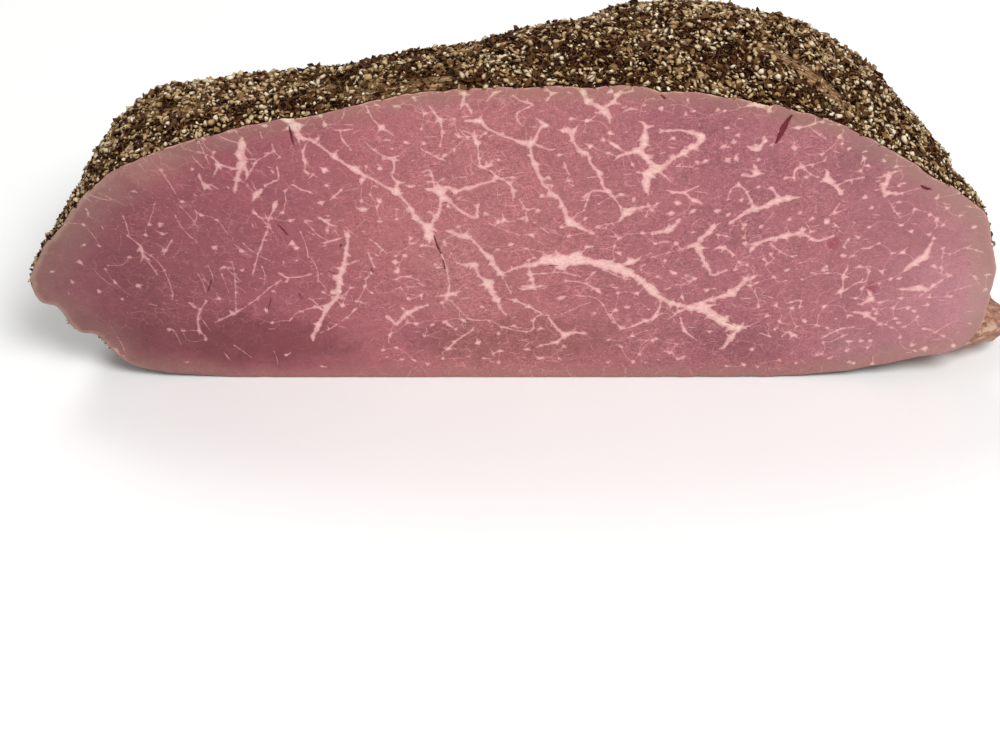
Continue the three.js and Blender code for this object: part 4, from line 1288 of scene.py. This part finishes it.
# soft patches of the cut face that are darker, redder or paler: place and size in the frame,
# then the factors for red, green and blue. The dark patches along the bottom edge are partly painted shade and partly
# the meat's own darker colour
TINT_AND_SHADE_PATCHES = [
    (258, 338, 100, 27, (0.73, 0.65, 0.64)), (150, 222, 55, 42, (1.05, 1.05, 1.05)), (885, 205, 62, 38, (0.95, 0.935, 0.94)),
    (925, 302, 62, 42, (1.09, 1.16, 1.19)), (748, 160, 70, 34, (0.97, 0.965, 0.975)), (505, 340, 120, 24, (0.80, 0.79, 0.75)),
    (735, 344, 62, 22, (0.84, 0.81, 0.84)), (833, 243, 8, 8, (0.90, 0.62, 0.70)), (872, 288, 8, 7, (0.90, 0.66, 0.72)),
    (425, 335, 45, 20, (0.95, 0.93, 0.97)), (105, 285, 26, 42, (0.96, 0.90, 0.96)), (560, 150, 60, 40, (0.985, 0.98, 0.985)),
    (150, 325, 42, 26, (0.90, 0.90, 0.90)), (852, 346, 46, 16, (1.0, 1.13, 1.15)), (380, 230, 62, 46, (1.04, 1.07, 1.02)),
    (455, 272, 40, 46, (1.01, 1.07, 1.04)), (148, 172, 40, 22, (1.20, 1.20, 1.17)), (95, 325, 28, 18, (0.88, 0.85, 0.88)),
    (880, 152, 40, 16, (0.93, 0.96, 0.96)), (856, 172, 36, 22, (0.90, 0.89, 0.90)), (690, 122, 46, 20, (0.92, 0.89, 0.92)),
]


def cut_face():
    k = Nodes("cut_face", 0.5, 0.25)
    x, y, z = k.split()
    fat, wisp, slit, deep, rim = (k.attribute(a) for a in ("fat", "wisp", "slit", "depth", "rim"))
    # pink across the face: darker towards the left, paler at the right. The darkening towards the left is partly the
    # meat's own colour and partly painted shade
    u = k.remap(x, -134.0, 134.0, kind="LINEAR")
    lean = k.ramp(u, [
        (0.05, srgb(136, 80, 86)), (0.11, srgb(132, 71, 78)), (0.17, srgb(144, 79, 86)), (0.25, srgb(155, 86, 94)), (0.35, srgb(172, 101, 107)),
        (0.43, srgb(178, 109, 113)), (0.50, srgb(177, 108, 112)), (0.57, srgb(170, 104, 109)), (0.70, srgb(166, 101, 108)), (0.76, srgb(170, 105, 111)),
        (0.86, srgb(170, 108, 114)), (0.95, srgb(184, 124, 130)),
    ])
    lean = k.shade(lean, k.noise(15, 2.0), 0.10)
    lean = k.shade(lean, k.noise(4.5, 2.0), 0.10)
    # calm at both ends and low at the left, livelier in the middle
    calm = k.math("MAXIMUM", k.remap(x, 66.0, 100.0), k.remap(x, -98.0, -122.0))
    calm = k.math("MAXIMUM", calm, k.mul(k.remap(z, 26.0, 16.0), k.remap(x, -30.0, -55.0)))
    lively = k.mul(k.remap(calm, 0.0, 1.0, 1.0, 0.42, "LINEAR"), k.remap(x, -75.0, -15.0, 0.85, 1.5))
    # bundles of fibre, the fibres along them and the fine grain
    wobble = k.noise_vector(7.0, 5.0)
    level = k.turned((0, 0.12, 0), (0.34, 1.0, 1.0), wobble)
    steep = k.turned((0, -1.05, 0), (0.24, 1.0, 1.0), wobble)
    level_f, steep_f = k.noise(0.42, 2.0, 0.62, level), k.noise(0.46, 2.0, 0.62, steep)
    side = k.remap(k.add(x, k.mul(k.noise(18, 1.0), 60.0)), -30.0, 5.0)
    fibre = k.add(k.mul(level_f, side), k.mul(steep_f, k.math("SUBTRACT", 1.0, side)))
    shows = k.mul(k.remap(k.noise(9, 2.0), 0.42, 0.62, 0.45, 1.0), lively)
    bundle = k.voronoi(2.3, "F1", k.noise_vector(3.0, 1.2), 1.0, "Color")
    grain = k.noise(0.30, 3.0, 0.7)
    lean = k.shade(lean, k.split(bundle)[0], 0.055)
    lean = k.shade(lean, k.add(k.mul(k.add(fibre, -0.5), shows), 0.5), 0.58)
    lean = k.shade(lean, k.add(k.mul(k.add(grain, -0.5), lively), 0.5), 0.66)
    lean = k.shade(lean, k.add(k.mul(k.add(k.noise(1.0, 3.0, 0.65), -0.5), lively), 0.5), 0.22)
    # faint threads of fat round the bundles, broken here and there
    walls = k.remap(k.voronoi(2.3, "DISTANCE_TO_EDGE", k.noise_vector(3.0, 1.2)), 0.045, 0.008)
    thread = k.remap(k.voronoi(5.6, "DISTANCE_TO_EDGE", k.noise_vector(4.0, 2.4)), 0.036, 0.004)
    threads = k.math("MAXIMUM",
                     k.mul(thread, k.mul(k.remap(k.noise(2.2, 2.0), 0.47, 0.60), k.remap(x, -80.0, -30.0, 0.20, 0.34))),
                     k.mul(walls, k.mul(k.remap(k.noise(2.8, 2.0), 0.48, 0.62), 0.20)))
    specks = k.mul(k.remap(k.voronoi(1.0, "F1", k.noise_vector(1.0, 0.5)), 0.22, 0.10), k.remap(k.noise(1.6, 2.0), 0.50, 0.62))
    threads = k.mul(k.math("MAXIMUM", threads, k.mul(specks, 0.5)), k.remap(calm, 0.0, 1.0, 1.0, 0.35, "LINEAR"))
    # the cooked rim
    rim_colour = k.ramp(u, [(0.03, srgb(138, 97, 91)), (0.12, srgb(152, 108, 104)), (0.25, srgb(162, 112, 106)), (0.5, srgb(168, 117, 106)), (0.75, srgb(160, 114, 107)), (0.96, srgb(174, 132, 124))])
    face = k.mix(k.mul(rim, k.remap(k.noise(5.0, 3.0, 0.6), 0.34, 0.6, 0.62, 0.94)), lean, rim_colour)
    shift = k.mul(k.add(k.noise(9, 2.0), -0.5), 1.1)
    # the patches darken, redden or pale the face; the dark ones along the bottom edge are partly painted shade
    for px, py, wide, high, tint_and_shade in TINT_AND_SHADE_PATCHES:
        cx, cz, s = (float(a[0]) for a in on_face(px, py))
        dx = k.mul(k.add(x, -(cx + float(OFFSET[0]))), 1 / (wide * s))
        dz = k.mul(k.add(z, -cz), math.sin(math.radians(44)) / (high * s))
        r = k.math("SQRT", k.add(k.mul(dx, dx), k.mul(dz, dz)))
        here = k.remap(k.add(r, shift if wide > 12 else k.mul(shift, 0.5)), 1.25, 0.45)
        face = k.mix(here, face, k.mix(1.0, face, (tint_and_shade[0], tint_and_shade[1], tint_and_shade[2], 1.0), "MULTIPLY"))
    face = k.shade(face, k.noise(0.8, 3.0, 0.6), 0.09)
    pink_fat = k.mix(rim, srgb(232, 170, 170), srgb(220, 180, 160))
    face = k.mix(threads, face, pink_fat)
    wisp_mask = k.remap(k.add(wisp, k.mul(k.add(k.noise(0.7, 2.0), -0.5), 0.4)), -0.12, 0.12)
    fainter = k.remap(x, -100.0, -50.0, 0.72, 1.0)
    face = k.mix(k.mul(wisp_mask, k.mul(k.remap(k.noise(3.5, 2.0), 0.35, 0.65, 0.34, 0.74), fainter)), face, pink_fat)
    # seams of fat, with ragged edges, paler in their middle
    ragged = k.add(fat, k.add(k.mul(k.add(k.noise(0.9, 2.0, 0.6), -0.5), 0.7), k.mul(k.add(k.noise(0.38, 2.0, 0.6), -0.5), 0.5)))
    mask = k.remap(ragged, -0.19, 0.17)
    core = k.remap(k.add(fat, k.mul(k.add(k.noise(1.4, 2.0), -0.5), 0.8)), 0.05, 0.9)
    cream = k.remap(k.noise(11, 2.0), 0.5, 0.62)
    fat_colour = k.mix(core, pink_fat, k.mix(k.math("MAXIMUM", k.mul(cream, 0.6), rim), srgb(248, 202, 195), srgb(240, 210, 192)))
    fat_colour = k.shade(fat_colour, k.noise(0.8, 3.0, 0.65), 0.34)
    strand = k.noise(0.5, 3.0, 0.65, k.turned((0, 0.25, 0), (0.22, 1.0, 1.0), wobble))
    fat_colour = k.mix(k.mul(k.remap(strand, 0.50, 0.64), 0.55), fat_colour, k.mix(0.5, face, fat_colour))
    face = k.mix(k.mul(mask, k.mul(k.remap(fat, -0.1, 0.4, 0.64, 0.95), fainter)), face, fat_colour)
    # clefts
    cleft = k.remap(k.add(slit, k.mul(k.add(k.noise(0.8, 2.0), -0.5), 0.2)), -0.12, 0.15)
    face = k.mix(k.mul(cleft, 0.94), face, k.mix(k.remap(slit, 0.0, 0.5), srgb(92, 26, 34), srgb(112, 22, 32)))
    # thin pale edge beside the crust
    line = k.mul(k.remap(k.add(deep, k.mul(k.add(k.noise(1.3, 2.0), -0.5), 0.6)), 0.42, 0.10), k.remap(k.noise(4.5, 2.0), 0.46, 0.62))
    face = k.mix(k.mul(line, 0.55), face, srgb(214, 172, 146))
    tip = k.mul(k.remap(k.add(deep, k.mul(k.add(k.noise(2.6, 2.0), -0.5), 1.4)), 2.0, 0.3), k.remap(x, -98.0, -116.0))
    face = k.mix(k.mul(tip, 0.42), face, srgb(188, 160, 142))
    relief = k.add(k.add(k.mul(grain, 0.8), k.mul(k.noise(1.8, 2.0), 0.6)), k.mul(k.remap(fat, -0.15, 0.15), 0.3))
    normal = k.bump(relief, 0.2, 0.6)
    rough = k.remap(k.noise(2.2, 3.0), 0.3, 0.7, 0.40, 0.60, "LINEAR")
    return k.finish(face, normal, rough)


def crust():
    k = Nodes("browned_outside", 0.65, 0.08)
    bare, low = k.attribute("bare"), k.attribute("low")
    fine = k.noise(0.7, 4.0, 0.65)
    # the skin between the grains: its dark colours are partly painted shade in the gaps between the grains and partly
    # the browned skin's own colour
    base = k.ramp(fine, [(0.32, srgb(18, 5, 0)), (0.50, srgb(40, 18, 6)), (0.62, srgb(70, 42, 22)), (0.76, srgb(112, 78, 48))])
    fibre = k.noise(1.0, 3.0, 0.6, k.turned((0, 0, 0.35), (0.16, 1.4, 1.0), k.noise_vector(5.0, 2.0)))
    tan = k.ramp(fibre, [(0.34, srgb(88, 56, 32)), (0.5, srgb(144, 108, 74)), (0.64, srgb(200, 164, 124))])
    under = k.ramp(k.noise(3.0, 3.0, 0.6), [(0.3, srgb(110, 74, 56)), (0.5, srgb(140, 100, 80)), (0.7, srgb(166, 126, 102))])
    colour = k.mix(bare, base, k.mix(0.12, tan, base))
    colour = k.mix(low, colour, under)
    relief = k.add(k.mul(fine, 1.0), k.mul(k.mul(fibre, bare), 0.8))
    return k.finish(colour, k.bump(relief, 0.6, 0.8), k.remap(fine, 0.3, 0.7, 0.75, 0.5, "LINEAR"))


def tail_skin():
    k = Nodes("tail_meat", 0.5, 0.35)
    fibre = k.noise(1.3, 3.0, 0.6, k.turned((0, 0.25, 0), (0.3, 1.0, 1.2), k.noise_vector(5.0, 2.5)))
    colour = k.ramp(fibre, [(0.28, srgb(106, 62, 46)), (0.46, srgb(148, 100, 82)), (0.62, srgb(172, 124, 102)), (0.80, srgb(212, 178, 150))])
    colour = k.shade(colour, k.noise(7.0, 2.0), 0.16)
    streak = k.remap(k.noise(3.2, 3.0, 0.6, k.turned((0, 0.2, 0.3), (0.4, 1.0, 1.2), k.noise_vector(4.0, 2.0))), 0.56, 0.66)
    colour = k.mix(k.mul(streak, 0.6), colour, srgb(214, 184, 158))
    return k.finish(colour, k.bump(fibre, 0.4, 0.6), k.remap(fibre, 0.3, 0.7, 0.42, 0.6, "LINEAR"))


def pepper(name, stops, roughness, specular, mottle_and_highlight=0.3, rim_colour=None, rim_amount=0.0):
    k = Nodes(name, roughness, specular)
    colour = k.ramp(k.attribute("tone"), stops)
    spots = k.noise(0.45, 3.0, 0.7)
    if rim_colour is not None:     # the broken edge of a chip has another colour
        colour = k.mix(k.mul(k.remap(k.add(k.attribute("edge"), k.mul(k.add(spots, -0.5), 1.4)), 0.55, 1.0), rim_amount), colour, rim_colour)
    # spots of each grain made lighter and darker; on the cream cores this is partly painted highlight
    colour = k.shade(colour, spots, mottle_and_highlight)
    return k.finish(colour, k.bump(spots, 0.14, 0.6), k.remap(spots, 0.3, 0.7, roughness - 0.1, roughness + 0.12, "LINEAR"))


meat.data.materials.append(cut_face())
meat.data.materials.append(crust())
tail.data.materials.append(tail_skin())
pieces[0].data.materials.append(pepper("pepper_husk", [(0.0, srgb(20, 2, 0)), (0.5, srgb(38, 10, 0)), (0.85, srgb(62, 32, 12)), (1.0, srgb(112, 80, 52))], 0.6, 0.045, 0.6, srgb(128, 94, 62), 0.4))
# the pale cores of cracked grains: their palest tones and strong mottle are partly painted highlights and partly the
# cores' own colour
pieces[1].data.materials.append(pepper("pepper_core", [(0.0, srgb(160, 126, 82)), (0.35, srgb(190, 162, 120)), (0.75, srgb(212, 190, 152)), (1.0, srgb(236, 220, 192))], 0.46, 0.24, 0.7, srgb(88, 52, 22), 0.95))
pieces[2].data.materials.append(pepper("pepper_shell", [(0.0, srgb(58, 31, 12)), (0.4, srgb(102, 71, 39)), (0.75, srgb(154, 122, 80)), (1.0, srgb(198, 168, 126))], 0.55, 0.08, 0.8, srgb(60, 34, 14), 0.5))
pieces[3].data.materials.append(pepper("pepper_dust", [(0.0, srgb(24, 4, 0)), (0.42, srgb(60, 28, 9)), (0.68, srgb(116, 82, 52)), (0.9, srgb(174, 144, 112)), (1.0, srgb(216, 194, 166))], 0.6, 0.06))

# ---- what rides on what ----------------------------------------------------------------
for piece in [meat, tail] + pieces:
    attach(piece, "root")
    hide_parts("roast_beef")

# ---- floor, light and camera ---------------------------------------------------------------
floor_mesh = bpy.data.meshes.new("floor")
floor_mesh.from_pydata([(-6, -6, 0), (6, -6, 0), (6, 6, 0), (-6, 6, 0)], [], [(0, 1, 2, 3)])
floor = bpy.data.objects.new("floor", floor_mesh)
bpy.context.collection.objects.link(floor)
kf = Nodes("pale_floor", 0.8, 0.1)
floor.data.materials.append(kf.finish(kf.shade(srgb(242, 242, 241), kf.noise(60, 2.0), 0.01)))

world = bpy.data.worlds.new("studio")
bpy.context.scene.world = world
world.use_nodes = True
world.node_tree.nodes["Background"].inputs[0].default_value = (1.0, 1.0, 1.0, 1.0)
world.node_tree.nodes["Background"].inputs[1].default_value = 0.38


def softbox(name, at, aim, size, power):
    light = bpy.data.lights.new(name, "AREA")
    light.shape = "RECTANGLE"
    light.size, light.size_y = size
    light.energy = power
    ob = bpy.data.objects.new(name, light)
    ob.location = at
    ob.rotation_euler = (Vector(aim) - Vector(at)).to_track_quat("-Z", "Y").to_euler()
    bpy.context.collection.objects.link(ob)
    return ob


softbox("key", (0.42, -0.62, 1.2), (0, 0, 0.04), (0.55, 0.55), 15.0)
softbox("back", (-0.35, 0.55, 1.2), (0, 0, 0.05), (0.5, 0.5), 5.0)

camera = bpy.data.cameras.new("camera")
camera.lens, camera.sensor_width, camera.sensor_fit = LENS, 36.0, "HORIZONTAL"
camera.clip_start, camera.clip_end = 0.02, 50.0
eye = bpy.data.objects.new("camera", camera)
eye.location = Vector((EYE + OFFSET) * 0.001)
eye.rotation_euler = (math.pi / 2 - ELEVATION, 0, 0)
bpy.context.collection.objects.link(eye)
bpy.context.scene.camera = eye
bpy.context.scene.view_settings.view_transform = "Standard"

bpy.context.view_layer.update()
